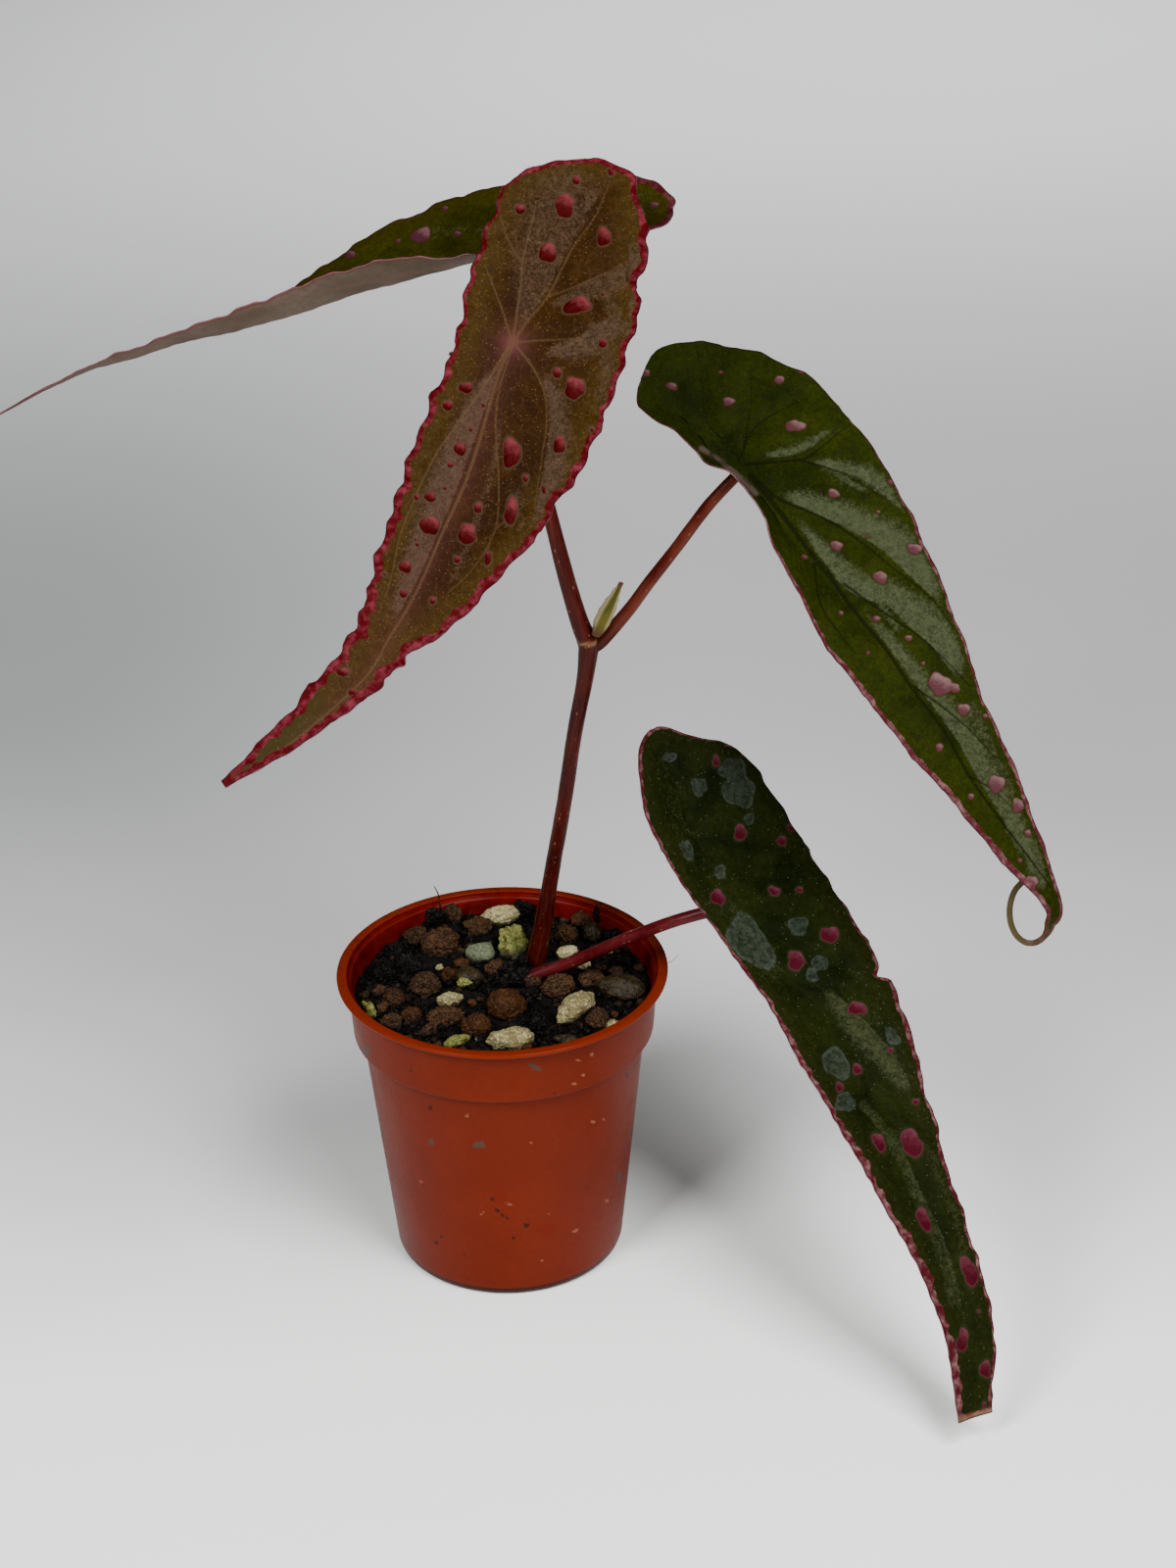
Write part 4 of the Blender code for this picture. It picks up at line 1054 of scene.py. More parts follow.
# Veins: half width in millimetres, then points in the picture from the stalk outward
VEINS = {
    "front": [
        (0.2, [(523, 350), (527, 322), (531, 290), (533, 266), (541, 234), (547, 205)]),
        (0.13, [(532, 268), (518, 245), (510, 219)]),
        (0.16, [(522, 350), (514, 323), (504, 296), (494, 270)]),
        (0.24, [(524, 349), (540, 326), (558, 304), (585, 253), (608, 222), (622, 188)]),
        (0.14, [(560, 303), (587, 293), (629, 274), (656, 258)]),
        (0.17, [(525, 350), (556, 348), (590, 346), (622, 338)]),
        (0.1, [(588, 346), (600, 356), (618, 366)]),
        (0.17, [(525, 352), (545, 377), (556, 403), (558, 430), (553, 470), (546, 520)]),
        (0.3, [(522, 352), (509, 381), (495, 430), (476, 490), (450, 547), (431, 592),
                (414, 624), (394, 656), (376, 688), (330, 732), (280, 771), (236, 797)]),
        (0.19, [(519, 353), (497, 390), (461, 440), (440, 472), (410, 540), (400, 585),
                (392, 610)]),
        (0.17, [(523, 354), (509, 400), (506, 440), (509, 493), (506, 540), (485, 579),
                (458, 606)]),
        (0.1, [(507, 540), (530, 520), (548, 508)]),
    ],
    "rear": [
        (0.22, [(478, 264), (430, 274), (383, 285), (287, 305), (191, 337), (110, 372)]),
        (0.2, [(560, 222), (500, 238), (440, 240), (380, 262)]),
    ],
    "right": [
        (0.2, [(754, 470), (738, 450), (722, 432), (717, 410), (716, 381), (711, 358)]),
        (0.2, [(756, 468), (762, 440), (766, 412), (766, 379)]),
        (0.16, [(758, 462), (771, 436), (803, 416), (826, 406)]),
        (0.26, [(760, 475), (803, 471), (824, 467), (852, 446), (872, 430)]),
        (0.22, [(816, 470), (864, 485), (893, 499), (906, 512)]),
        (0.3, [(766, 484), (795, 510), (824, 522), (864, 543), (905, 575), (946, 608),
                (972, 640)]),
        (0.48, [(765, 486), (795, 522), (824, 561), (844, 586), (876, 630), (903, 662),
                (932, 705), (962, 745), (989, 793), (1021, 838), (1047, 872), (1072, 906)]),
        (0.24, [(860, 596), (892, 619), (935, 648), (967, 677), (990, 702)]),
        (0.2, [(930, 700), (962, 722), (992, 748), (1018, 778)]),
        (0.16, [(985, 790), (1012, 806), (1034, 826)]),
        (0.16, [(830, 575), (838, 620), (872, 668)]),
    ],
    "low": [
        (0.34, [(738, 926), (768, 962), (796, 993), (841, 1031), (874, 1080), (900, 1130),
                (928, 1180), (950, 1240), (968, 1300), (982, 1360), (992, 1440)]),
        (0.18, [(736, 922), (722, 880), (700, 830), (680, 780)]),
        (0.18, [(740, 922), (750, 870), (762, 820), (760, 790)]),
        (0.18, [(742, 924), (790, 880), (815, 850)]),
        (0.2, [(744, 928), (800, 930), (850, 930)]),
        (0.22, [(748, 934), (810, 968), (860, 990), (895, 1018)]),
        (0.2, [(800, 996), (856, 1018), (900, 1062), (930, 1110)]),
        (0.16, [(870, 1072), (910, 1110), (944, 1160)]),
    ],
}

# Bands of painted reflection: lighter colour that stands in for light off the face. Each has
# widths in pixels along its line, a strength and the line in the picture. The line is the
# band's sharp side; a width below 0 puts the band on the left of a traveller along the line.
# A single width is soft on both sides.
PAINTED_SHEENS = {
    "front": [
        ((14, 22, 18), 0.5, [(618, 274), (630, 302), (636, 334)]),
        ((-6, -30, -62, -84, -98, -104, -96, -70), 0.54,
         [(530, 346), (545, 320), (560, 296), (574, 268), (590, 240), (604, 218), (614, 196),
          (622, 178)]),
        ((-44, -44), 1.0, [(640, 240), (644, 300), (634, 360), (618, 420), (600, 470)]),
        ((6, 24, 32, 34, 22), 0.7,
         [(556, 312), (580, 298), (600, 286), (625, 276), (652, 262)]),
        ((6, 30, 36, 34, 26), 0.75, [(552, 366), (566, 352), (590, 344), (612, 330), (640, 318)]),
        ((-8, -26, -34, -34, -28, -12), 0.8,
         [(546, 376), (556, 400), (560, 430), (556, 470), (550, 505), (540, 540)]),
        ((9,), 0.55, [(606, 340), (622, 372), (618, 404)]),
        ((6, 26, 36, 42, 40, 34, 22, 10), 0.95,
         [(516, 362), (500, 404), (484, 450), (466, 500), (446, 546), (430, 584), (416, 610),
          (398, 644)]),
        ((-4, -14, -14, -10), 0.45, [(512, 410), (500, 470), (478, 545), (452, 606)]),
        ((4,), 0.35, [(372, 706), (345, 722), (318, 742), (300, 752)]),
        ((7,), 0.35, [(527, 500), (534, 540)]),
    ],
    "rear": [
        ((5,), 0.4, [(490, 237), (472, 238), (452, 237), (438, 244)]),
        ((5,), 0.35, [(640, 205), (660, 200)]),
    ],
    "right": [
        ((8, 13, 13, 8), 0.6, [(836, 466), (854, 480), (872, 492), (888, 500)]),
        ((8, 13, 11), 0.56, [(888, 598), (905, 620), (924, 646)]),
        ((-5, -12, -13, -12, -5), 0.75,
         [(776, 468), (800, 467), (816, 463), (832, 455), (850, 440)]),
        ((-3, -12, -19, -24, -28, -20, -8), 0.9,
         [(824, 470), (846, 479), (864, 487), (879, 493), (893, 502), (908, 512), (924, 528)]),
        ((-10, -22, -27, -30, -34, -40, -44, -44, -36, -16), 1.0,
         [(790, 506), (815, 518), (835, 527), (860, 538), (880, 549), (897, 560), (912, 573),
          (931, 591), (950, 609), (963, 622)]),
        ((-5, -12, -20, -28, -32, -33, -36, -44, -44, -32, -14), 0.9,
         [(806, 524), (822, 548), (838, 572), (855, 594), (870, 607), (884, 613), (905, 619),
          (925, 638), (947, 657), (966, 681), (980, 702)]),
        ((-4, -14, -20, -24, -30, -34, -30, -26, -22, -14), 0.8,
         [(874, 614), (890, 640), (908, 664), (928, 692), (950, 720), (975, 755), (1000, 800),
          (1025, 840), (1048, 872), (1068, 900)]),
        ((9,), 0.45, [(992, 725), (1008, 765), (1026, 805)]),
        ((9,), 0.75, [(1034, 842), (1054, 876), (1060, 898)]),
    ],
    "low": [
        ((10,), 0.35, [(742, 930), (765, 960), (788, 992)]),
        ((12, 26, 34, 28, 14), 0.8,
         [(840, 1004), (862, 1022), (886, 1046), (914, 1080), (934, 1118)]),
        ((8, 14, 16, 14, 8), 0.6,
         [(908, 1140), (928, 1190), (950, 1235), (970, 1285), (984, 1345)]),
        ((8,), 0.25, [(885, 1035), (910, 1070), (925, 1100)]),
        ((5,), 0.5, [(880, 1128), (905, 1162), (932, 1215), (955, 1270), (972, 1330)]),
        ((6,), 0.4, [(950, 1180), (975, 1240), (985, 1280)]),
        ((12,), 0.2, [(675, 770), (690, 830), (715, 880)]),
    ],
}

# Dried water marks: x, y, width, height and turn
WATER_MARKS = {
    "low": [
        (747, 786, 28, 24, 15), (753, 808, 34, 30, 10), (712, 803, 15, 18, -15),
        (682, 773, 14, 10), (734, 891, 11, 14), (764, 962, 34, 62, -38), (814, 946, 20, 18),
        (836, 984, 18, 16), (828, 996, 11, 14, -25), (852, 1086, 24, 34, -35),
        (861, 1126, 20, 20), (764, 836, 10, 12), (910, 1060, 12, 20, -30),
        (700, 868, 12, 20, -20),
    ],
}

# Small pulls on a blade's outline: x, y, pixels aside, pixels down, reach in pixels
PULLS = {
    "front": [
        (632, 186, 13, -7, 17), (610, 170, 3, -6, 16), (662, 272, -6, 0, 14),
        (666, 246, -7, 0, 10), (662, 280, -4, 0, 10), (657, 290, -8, 0, 16),
        (580, 160, 0, 3, 16), (520, 188, -4, -2, 12), (408, 690, -3, -6, 12),
        (428, 664, -5, -4, 10),
    ],
    "rear": [
        (650, 186, 2, -5, 20), (672, 194, 3, -8, 16), (691, 204, 8, -5, 9), (680, 226, 2, 6, 14),
        (689, 213, -5, 0, 4), (692, 219, 1, 0, 3), (688, 226, -5, -2, 5), (670, 240, -3, 3, 8),
    ],
    "right": [
        (672, 370, -3, -11, 20), (646, 402, 6, -2, 18), (662, 424, -1, -3, 16),
        (690, 441, 0, -5, 16), (728, 468, -5, 5, 16), (765, 354, 0, 4, 18), (740, 350, 0, 4, 22),
        (826, 386, 3, -3, 22), (792, 552, -7, 1, 26), (928, 534, 3, 0, 26), (952, 580, 3, 0, 18),
        (690, 355, 0, -4, 14),
    ],
    "low": [
        (660, 766, -4, -2, 24), (742, 766, 3, -5, 20), (676, 746, 0, -3, 16),
    ],
}

# Strips of underside that show along a blade's edge: half width in pixels, and a line
LININGS = {
    "right": [(2.0, [(714, 459), (726, 467), (740, 477), (754, 488), (770, 505)])],
}

# Where a stalk's pink shows through from below: x, y and radius in the picture
HEARTS = {
    "front": (523, 350, 9), "rear": (600, 214, 14),
    "right": (757, 478, 12), "low": (738, 926, 14),
}


def along(points, count):
    """Evenly spaced points on a smooth curve through the given ones, with their lengths."""
    data = np.array(points, dtype=float)
    last = len(data) - 1
    position = np.linspace(0.0, last, 400)
    index = np.minimum(position.astype(int), last - 1)
    share = (position - index)[:, None]
    before = data[np.maximum(index - 1, 0)]
    start = data[index]
    end = data[index + 1]
    after = data[np.minimum(index + 2, last)]
    curve = 0.5 * (
        2 * start + (end - before) * share
        + (2 * before - 5 * start + 4 * end - after) * share ** 2
        + (3 * start - before - 3 * end + after) * share ** 3)
    steps = np.linalg.norm(np.diff(curve[:, :3], axis=0), axis=1)
    length = np.concatenate(([0.0], np.cumsum(steps)))
    wanted = np.linspace(0.0, length[-1], count)
    even = [np.interp(wanted, length, curve[:, axis]) for axis in range(data.shape[1])]
    return np.stack(even, axis=1), wanted


def unit(vectors):
    return vectors / np.linalg.norm(vectors, axis=-1, keepdims=True)


def curl_points():
    """The thread at the end of the right leaf turns down, under and back up behind it."""
    points = []
    for step in range(1, CURL_POINTS + 1):
        share = step / CURL_POINTS
        angle = math.radians(CURL_START - CURL_TURN * share)
        depth = CURL_DEPTHS[0] + (CURL_DEPTHS[1] - CURL_DEPTHS[0]) * share
        points.append((
            CURL_CENTRE[0] + CURL_RADII[0] * math.cos(angle), depth,
            CURL_CENTRE[1] + CURL_RADII[1] * math.sin(angle)))
    return points


LEAVES["right"]["thread"] = curl_points()


def vein_curve(leaf, samples=400):
    """Points, directions and upper-face normals along a leaf's middle vein."""
    points, length = along(leaf["vein"] + leaf.get("thread", []), samples)
    direction = unit(np.gradient(points, axis=0))
    facing = np.array(leaf["facing"])
    normal = unit(facing - direction * (direction @ facing)[:, None])
    blade_length = length[-1]
    if leaf.get("thread"):
        blade_length = along(leaf["vein"], samples)[1][-1]
    return points, direction, normal, length, blade_length


def at_station(values, share):
    """A half width or a rise, from its even stations along the vein."""
    if len(values) == 1:
        return np.full_like(share, values[0], dtype=float)
    position = np.clip(share, 0.0, 1.0) * (len(values) - 1)
    index = np.minimum(position.astype(int), len(values) - 2)
    blend = position - index
    blend = blend * blend * (3 - 2 * blend) * 0.5 + blend * 0.5
    data = np.array(values, dtype=float)
    return data[index] * (1 - blend) + data[index + 1] * blend


def edge_wave(leaf, length, side):
    """An uneven wave along the margin, from -1 to 1."""
    turn = math.tau * length / leaf["wave_pitch"]
    return 0.65 * np.sin(turn + 1.3 * side) + 0.35 * np.sin(turn * 0.61 + 2.1 * side)


def edge_teeth(leaf, length, side):
    """Small uneven points along the margin, from 0 at a gap to 1 at a point."""
    pitch = leaf["teeth"][1]
    turn = length / pitch + 0.35 * np.sin(length * 0.83 / pitch + side) + 0.3 * side
    saw = turn - np.floor(turn)
    size = 0.6 + 0.4 * np.sin(length * 0.47 + 1.7 * side)
    return size * np.where(saw < 0.7, saw / 0.7, (1 - saw) / 0.3) ** 1.5


def edge_curl(leaf, length, side):
    """A quick curl of the margin, from -1 to 1."""
    pitch = leaf["wave_pitch"] * CURL_PITCH_SHARE
    return np.sin(math.tau * length / pitch + 2.0 * side)


def margin_width(leaf, name, length, side, share):
    """The uneven width of the pink margin along one side."""
    uneven = np.sin(length / 1.7 + side) * np.sin(length / 0.73 + 2.3 * side)
    uneven = uneven + 0.5 * np.sin(length / 3.9 + 1.1 * side)
    return at_station(leaf["band_" + name], share) * (1.0 + leaf["uneven"] * uneven)


def notch_depth(leaf, name, length):
    depth = np.zeros_like(length)
    for side, place, half, share in leaf["notches"]:
        if side == name:
            depth += share * np.exp(-((length - place) / half) ** 2)
    return depth


def blade_surface(leaf):
    """The blade's middle surface as rows across the vein, and what is measured on it."""
    rows, columns = leaf["rows"], leaf["columns"]
    points, direction, normal, length, blade_length = vein_curve(leaf)
    place = np.linspace(0.0, 1.0, rows + 1) ** ROW_CROWDING * length[-1]
    point, forward, up = (
        np.stack([np.interp(place, length, data[:, axis]) for axis in range(3)], axis=1)
        for data in (points, direction, normal))
    forward, up = unit(forward), unit(up)
    aside = np.cross(forward, up)
    share = place / blade_length
    round_end = leaf.get("round_end", ROUND_END)
    closing = np.sqrt(1 - (1 - np.minimum(share / round_end, 1.0)) ** 2)
    crease = leaf["crease"]
    grid = np.zeros((rows + 1, columns + 1, 3))
    band = np.zeros((rows + 1, columns + 1))
    for column in range(columns + 1):
        across = 2.0 * column / columns - 1.0
        side = 1 if across < 0 else -1
        name = "left" if across < 0 else "right"
        rise = np.radians(at_station(leaf[name + "_rise"], share))
        wave = edge_wave(leaf, place, side)
        width = at_station(leaf[name], share)
        thread = np.clip((share - 1.0) / THREAD_TAPER, 0.0, 1.0)
        width = width * (1 - thread) + THREAD_WIDTH * thread
        fade = np.clip(width / WAVY_WIDTH, 0.0, 1.0) * (1 - thread)
        teeth = leaf["teeth"][0] * (edge_teeth(leaf, place, side) - 0.4)
        outer = width + (leaf["scallop"] * wave + teeth) * fade
        outer = outer * (1 - notch_depth(leaf, name, place))
        reach = np.maximum(outer * closing, LEAST_REACH)
        lift = leaf["wave_lift"] * wave * fade * closing * abs(across) ** WAVE_STEEPNESS
        curl = leaf["curl"] * edge_curl(leaf, place, side)
        lift = lift + curl * fade * closing * abs(across) ** CURL_STEEPNESS
        soft = (math.hypot(across, crease) - crease) / (math.hypot(1.0, crease) - crease)
        lift = lift + np.sin(rise) * reach * soft
        level = side * np.cos(rise) * reach * abs(across)
        grid[:, column] = point + aside * level[:, None] + up * lift[:, None]
        band[:, column] = margin_width(leaf, name, place, side, share)
    return grid, band, np.repeat(share[:, None], columns + 1, axis=1)


def pulled(grid, pulls):
    """Move parts of a blade a little, square to the picture."""
    right, up, _ = camera_axes()
    seen = picture_place(grid)
    shift = np.zeros_like(grid)
    for x, y, aside, down, reach in pulls:
        away = np.hypot(seen[..., 0] - x, seen[..., 1] - y)
        shift += np.exp(-(away / reach) ** 2)[..., None] * (right * aside - up * down)
    return grid + shift * MM_PER_PIXEL


def edge_distance(grid):
    """How far each point of a sheet is from its outline."""
    outline = np.concatenate([grid[0], grid[-1], grid[:, 0], grid[:, -1]])
    rows = [
        np.sqrt(((row[:, None] - outline[None]) ** 2).sum(axis=2).min(axis=1))
        for row in grid]
    return np.stack(rows)


def line_distance(seen, line):
    """Pixels from each point to a drawn line, how far along it that is, and on which side."""
    line = along(line, max(8, 4 * len(line)))[0]
    best = np.full(seen.shape[:2], 1e9)
    share = np.zeros(seen.shape[:2])
    side = np.zeros(seen.shape[:2])
    for index, (start, end) in enumerate(zip(line, line[1:])):
        way = end - start
        off = seen - start
        part = np.clip((off @ way) / (way @ way), 0.0, 1.0)
        away = np.linalg.norm(off - part[..., None] * way, axis=-1)
        nearer = away < best
        best = np.where(nearer, away, best)
        share = np.where(nearer, (index + part) / (len(line) - 1), share)
        side = np.where(nearer, np.sign(way[0] * off[..., 1] - way[1] * off[..., 0]), side)
    return best, share, side


def band_light(seen, widths, line):
    """Painted reflection in a band: sharp on its line, fading over its width and at its ends."""
    away, share, side = line_distance(seen, line)
    if len(widths) == 1:
        return np.clip(1.6 - away / widths[0], 0, 1)
    width = np.interp(share, np.linspace(0, 1, len(widths)), np.abs(widths))
    inside = np.clip((away * side * np.sign(widths[0]) + 0.8) / 2.2, 0, 1)
    fade = np.clip(1.9 * (1 - away / width), 0, 1)
    ends = np.clip(share / 0.12, 0, 1) * np.clip((1 - share) / 0.1, 0, 1)
    return inside * fade * ends


def oval_depth(seen, mark):
    """1 at the middle of an oval mark and 0 on its edge."""
    x, y, wide, high = mark[:4]
    turn = math.radians(mark[4] if len(mark) > 4 else 0.0)
    away = seen - np.array([x, y])
    level = away[..., 0] * math.cos(turn) + away[..., 1] * math.sin(turn)
    upright = away[..., 1] * math.cos(turn) - away[..., 0] * math.sin(turn)
    round_way = np.arctan2(upright, level)
    uneven = 1 + 0.09 * np.sin(3 * round_way + x) + 0.06 * np.sin(5 * round_way + y)
    level, upright = np.abs(level / (wide / 2)) ** 2.5, np.abs(upright / (high / 2)) ** 2.5
    return 1.0 - (level + upright) ** 0.4 / uneven


def mark_depth(seen, marks):
    """Millimetres inside the nearest mark's edge, a dome on it, and painted shade: -1 at top to 1.
    """
    inside = np.full(seen.shape[:2], -9.0)
    dome = np.zeros(seen.shape[:2])
    lean = np.zeros(seen.shape[:2])
    for mark in marks:
        depth = oval_depth(seen, mark)
        small = min(mark[2], mark[3])
        deep = depth * small / 2 * MM_PER_PIXEL
        # Painted shade side: the upper side of a spot is painted lighter, the lower side darker
        down = (seen[..., 1] - mark[1]) * 0.8 - (seen[..., 0] - mark[0]) * 0.35
        lean = np.where(deep > inside, down / (mark[3] / 2), lean)
        inside = np.maximum(inside, deep)
        rounded = np.sqrt(np.clip(1 - np.clip(1 - depth, 0, 1) ** 2, 0, 1))
        dome = np.maximum(dome, rounded * min(1.0, small / 13.0))
    return inside, dome, lean


def vein_depth(seen, veins):
    """Millimetres from the nearest vein's edge, and from its middle."""
    edge = np.full(seen.shape[:2], 9.0)
    middle = np.full(seen.shape[:2], 9.0)
    for half, line in veins:
        away, share, _ = line_distance(seen, line)
        away = away * MM_PER_PIXEL
        edge = np.minimum(edge, away - half * (1 - 0.75 * share))
        middle = np.minimum(middle, away + 2.0 * share ** 3)
    return edge, middle


def sheet_normals(grid):
    along_rows = np.gradient(grid, axis=0)
    along_columns = np.gradient(grid, axis=1)
    return unit(np.cross(along_rows, along_columns))


def ripple_height(grid, scale, seed):
    """Slow uneven relief over a sheet, from about -1 to 1."""
    flat = grid.reshape(-1, 3)
    values = [noise.noise(Vector(p) * scale + Vector((seed, 0, 0))) for p in flat]
    return np.array(values).reshape(grid.shape[:2]) * 1.6


def painted_leaf_sheen(kind, seen, rim):
    """Where the face takes painted reflection, fading out at the blade's edge."""
    painted_sheen = np.zeros_like(rim)
    for widths, strength, line in PAINTED_SHEENS[kind]:
        painted_sheen = np.maximum(painted_sheen, strength * band_light(seen, widths, line))
    return painted_sheen * np.clip(rim / PAINTED_SHEEN_MARGIN, 0, 1)


def leaf_blush(kind, seen):
    """Pink that shows through at the stalk, and on the front leaf along its main vein."""
    x, y, radius = HEARTS[kind]
    blush = np.exp(-np.hypot(seen[..., 0] - x, seen[..., 1] - y) / radius)
    if kind != "front":
        return FAINT_BLUSH * np.clip(blush, 0, MOST_BLUSH)
    main = max(VEINS[kind], key=lambda vein: vein[0])
    away = line_distance(seen, main[1])[0]
    return np.clip(blush + VEIN_BLUSH * np.exp(-away / VEIN_BLUSH_REACH), 0, MOST_BLUSH)


def leaf_measures(kind, grid, band, share):
    """What the finish reads on each point of the blade, and what its relief reads."""
    seen = picture_place(grid)
    on_blade = share < 1.0
    rim = edge_distance(grid)
    spot, dome, lean = mark_depth(seen, SPOTS[kind])
    edge, middle = vein_depth(seen, VEINS[kind])
    lining = np.zeros_like(rim)
    for half, line in LININGS.get(kind, []):
        lining = np.clip(1.7 - line_distance(seen, line)[0] / half, 0, 1)
    water = mark_depth(seen, WATER_MARKS.get(kind, []))[0]
    tip = np.clip((share - 0.992) / 0.008, 0, 1) if kind == "low" else 0.0
    thread = np.clip((share - 1.02) * 8.0, 0.0, 0.85)
    # lean carries a spot's painted light and shade: lighter on its upper side, darker below
    values = {
        "spot": np.where(on_blade, spot, NO_MARK), "lean": np.clip(lean, -1.5, 1.5),
        "vein": edge, "painted_sheen": painted_leaf_sheen(kind, seen, rim), "blush": leaf_blush(kind, seen),
        "lining": lining, "water": np.maximum(water, NO_MARK), "rim": rim,
        "border": rim - band, "dry": np.where(on_blade, tip, thread)}
    return values, np.where(on_blade, dome, 0.0), middle


def relieve(leaf, grid, rim, dome, vein_middle):
    """Raise the flesh between the veins, lift the spots, and ripple the whole blade."""
    inner = np.clip(rim / RELIEF_MARGIN, 0.0, 1.0)
    pillow = leaf["pillow"] * (1 - np.exp(-(vein_middle / PILLOW_REACH) ** 2)) * inner
    height = pillow + leaf["blister"] * dome * np.clip(rim / SPOT_MARGIN, 0, 1)
    height = height + leaf["ripple"] * ripple_height(grid, *SLOW_RIPPLE) * inner
    height = height + QUICK_RIPPLE_HEIGHT * ripple_height(grid, *QUICK_RIPPLE) * inner
    return grid + sheet_normals(grid) * height[..., None]


def bent_sheet(grid):
    """A flat grid bent to these points, and the row and column of each of its vertices."""
    rows, columns = grid.shape[0] - 1, grid.shape[1] - 1
    bm = bmesh.new()
    bmesh.ops.create_grid(bm, x_segments=rows, y_segments=columns, size=1.0)
    cells = []
    for vert in bm.verts:
        row = round((vert.co.x + 1.0) / 2.0 * rows)
        column = round((vert.co.y + 1.0) / 2.0 * columns)
        vert.co = grid[row, column]
        cells.append((row, column))
    row_of, column_of = np.array(cells).T
    return bm, row_of, column_of


def make_leaf(kind):
    """Make a blade with all its measures and give it thickness, thinner at its edge."""
    leaf = LEAVES[kind]
    grid, band, share = blade_surface(leaf)
    grid = pulled(grid, PULLS[kind])
    values, dome, vein_middle = leaf_measures(kind, grid, band, share)
    grid = relieve(leaf, grid, values["rim"], dome, vein_middle)
    bm, row_of, column_of = bent_sheet(grid)
    looks = [leaf_top_finish(kind), UNDERSIDE, LEAF_EDGE]
    piece = add_piece(kind + "_leaf_blade", bm, looks, ["leaf_" + kind], 80.0)
    for measure, value in values.items():
        keep_measure(piece.data, measure, value[row_of, column_of])
    thickness = piece.vertex_groups.new(name="thickness")
    inward = np.clip(values["rim"] / THIN_MARGIN, 0.0, 1.0)
    weight = EDGE_SHARE + (1 - EDGE_SHARE) * inward
    for index, value in enumerate(weight[row_of, column_of]):
        thickness.add([index], float(value), "REPLACE")
    thicken = piece.modifiers.new("thickness", "SOLIDIFY")
    thicken.thickness = LEAF_THICKNESS * MM
    thicken.offset = 0.0
    thicken.vertex_group = "thickness"
    thicken.material_offset = 1
    thicken.material_offset_rim = 2


# ---------------------------------------------------------------- cane, stalks and sheaths

CLEARANCE = 0.3
STALK_SIDES = 28
STALK_STEP = 0.6
STALK_SEAT = 1.6
STEM = [
    (7.0, 12.2, 52.0, 2.1), (7.3, 12.0, 61.0, 2.2), (9.3, 11.5, 72.0, 1.9),
    (11.3, 11.0, 84.5, 1.65), (14.1, 9.0, 101.5, 1.6), (16.4, 7.0, 118.0, 1.6),
    (18.5, 5.5, 130.0, 1.7), (19.4, 4.2, 137.5, 2.0), (19.5, 4.0, 140.5, 2.2),
    (18.0, 4.0, 144.5, 1.9), (15.4, 4.3, 154.5, 1.7), (12.3, 5.0, 168.5, 1.5),
    (9.7, 5.6, 179.5, 1.45), (8.5, 5.9, 187.0, 1.7), (7.9, 6.0, 189.4, 1.7),
]
STALKS = {
    "low": [
        (0.6, 2.6, 58.2, 1.3), (3.4, 3.4, 60.2, 1.45), (6.9, 4.0, 62.5, 1.45),
        (15.1, 2.2, 66.6, 1.35), (26.4, -2.0, 74.2, 1.3), (36.5, -5.8, 80.4, 1.3)],
    "right": [
        (19.4, 4.0, 138.8, 1.2), (21.6, 3.9, 140.2, 1.5), (24.6, 3.6, 143.6, 1.4),
        (28.2, 3.7, 148.0, 1.3), (32.0, 4.2, 153.2, 1.25), (38.0, 5.2, 160.8, 1.2),
        (44.2, 6.4, 168.8, 1.2)],
    "front": [
        (7.9, 3.6, 188.8, 1.2), (7.6, 0.6, 191.4, 1.2), (7.0, -4.5, 198.0, 1.15),
        (6.4, -9.5, 205.0, 1.15)],
    "rear": [(8.3, 7.1, 190.2, 1.2), (8.8, 9.8, 198.0, 1.2), (9.9, 14.0, 207.0, 1.15)],
}
SHEATHS = {
    "axil": [
        (21.0, 1.8, 142.8, 0.9), (22.0, 1.6, 145.4, 1.6), (23.3, 1.4, 148.4, 1.7),
        (24.9, 1.2, 151.8, 1.0), (26.3, 1.0, 154.8, 0.4)],
    "tip": [
        (6.2, 6.0, 190.3, 0.8), (3.4, 6.0, 193.2, 1.5), (-0.2, 6.0, 196.8, 1.7),
        (-3.6, 6.0, 200.0, 1.2), (-6.4, 6.0, 202.6, 0.4)],
}
SHEATH_FLATNESS = 0.45
# Rings left by fallen sheaths: where along the cane, half width, share, slope and right end
SCAR_RINGS = [(90.5, 0.35, 0.8, 0.25, 9.0), (138.5, 0.26, 0.85, -0.4, 1.0)]
# Where each stalk meets its blade: share of the vein, and share of the right half's width
STALK_AT = {"front": (0.27, 0.0), "rear": (0.2, 0.0), "right": (0.2, 0.1), "low": (0.25, 0.0)}


def ring_axes(direction, hint):
    """Two axes square to a tube's direction, turned as little as possible from a hint."""
    first = hint - direction * hint.dot(direction)
    first.normalize()
    return first, direction.cross(first)


def next_ring(ring, made):
    """The new vertex above each vertex of the last ring, in the same order."""
    fresh = {item for item in made if isinstance(item, bmesh.types.BMVert)}
    above = []
    for vert in ring:
        for edge in vert.link_edges:
            other = edge.other_vert(vert)
            if other in fresh:
                above.append(other)
    return above


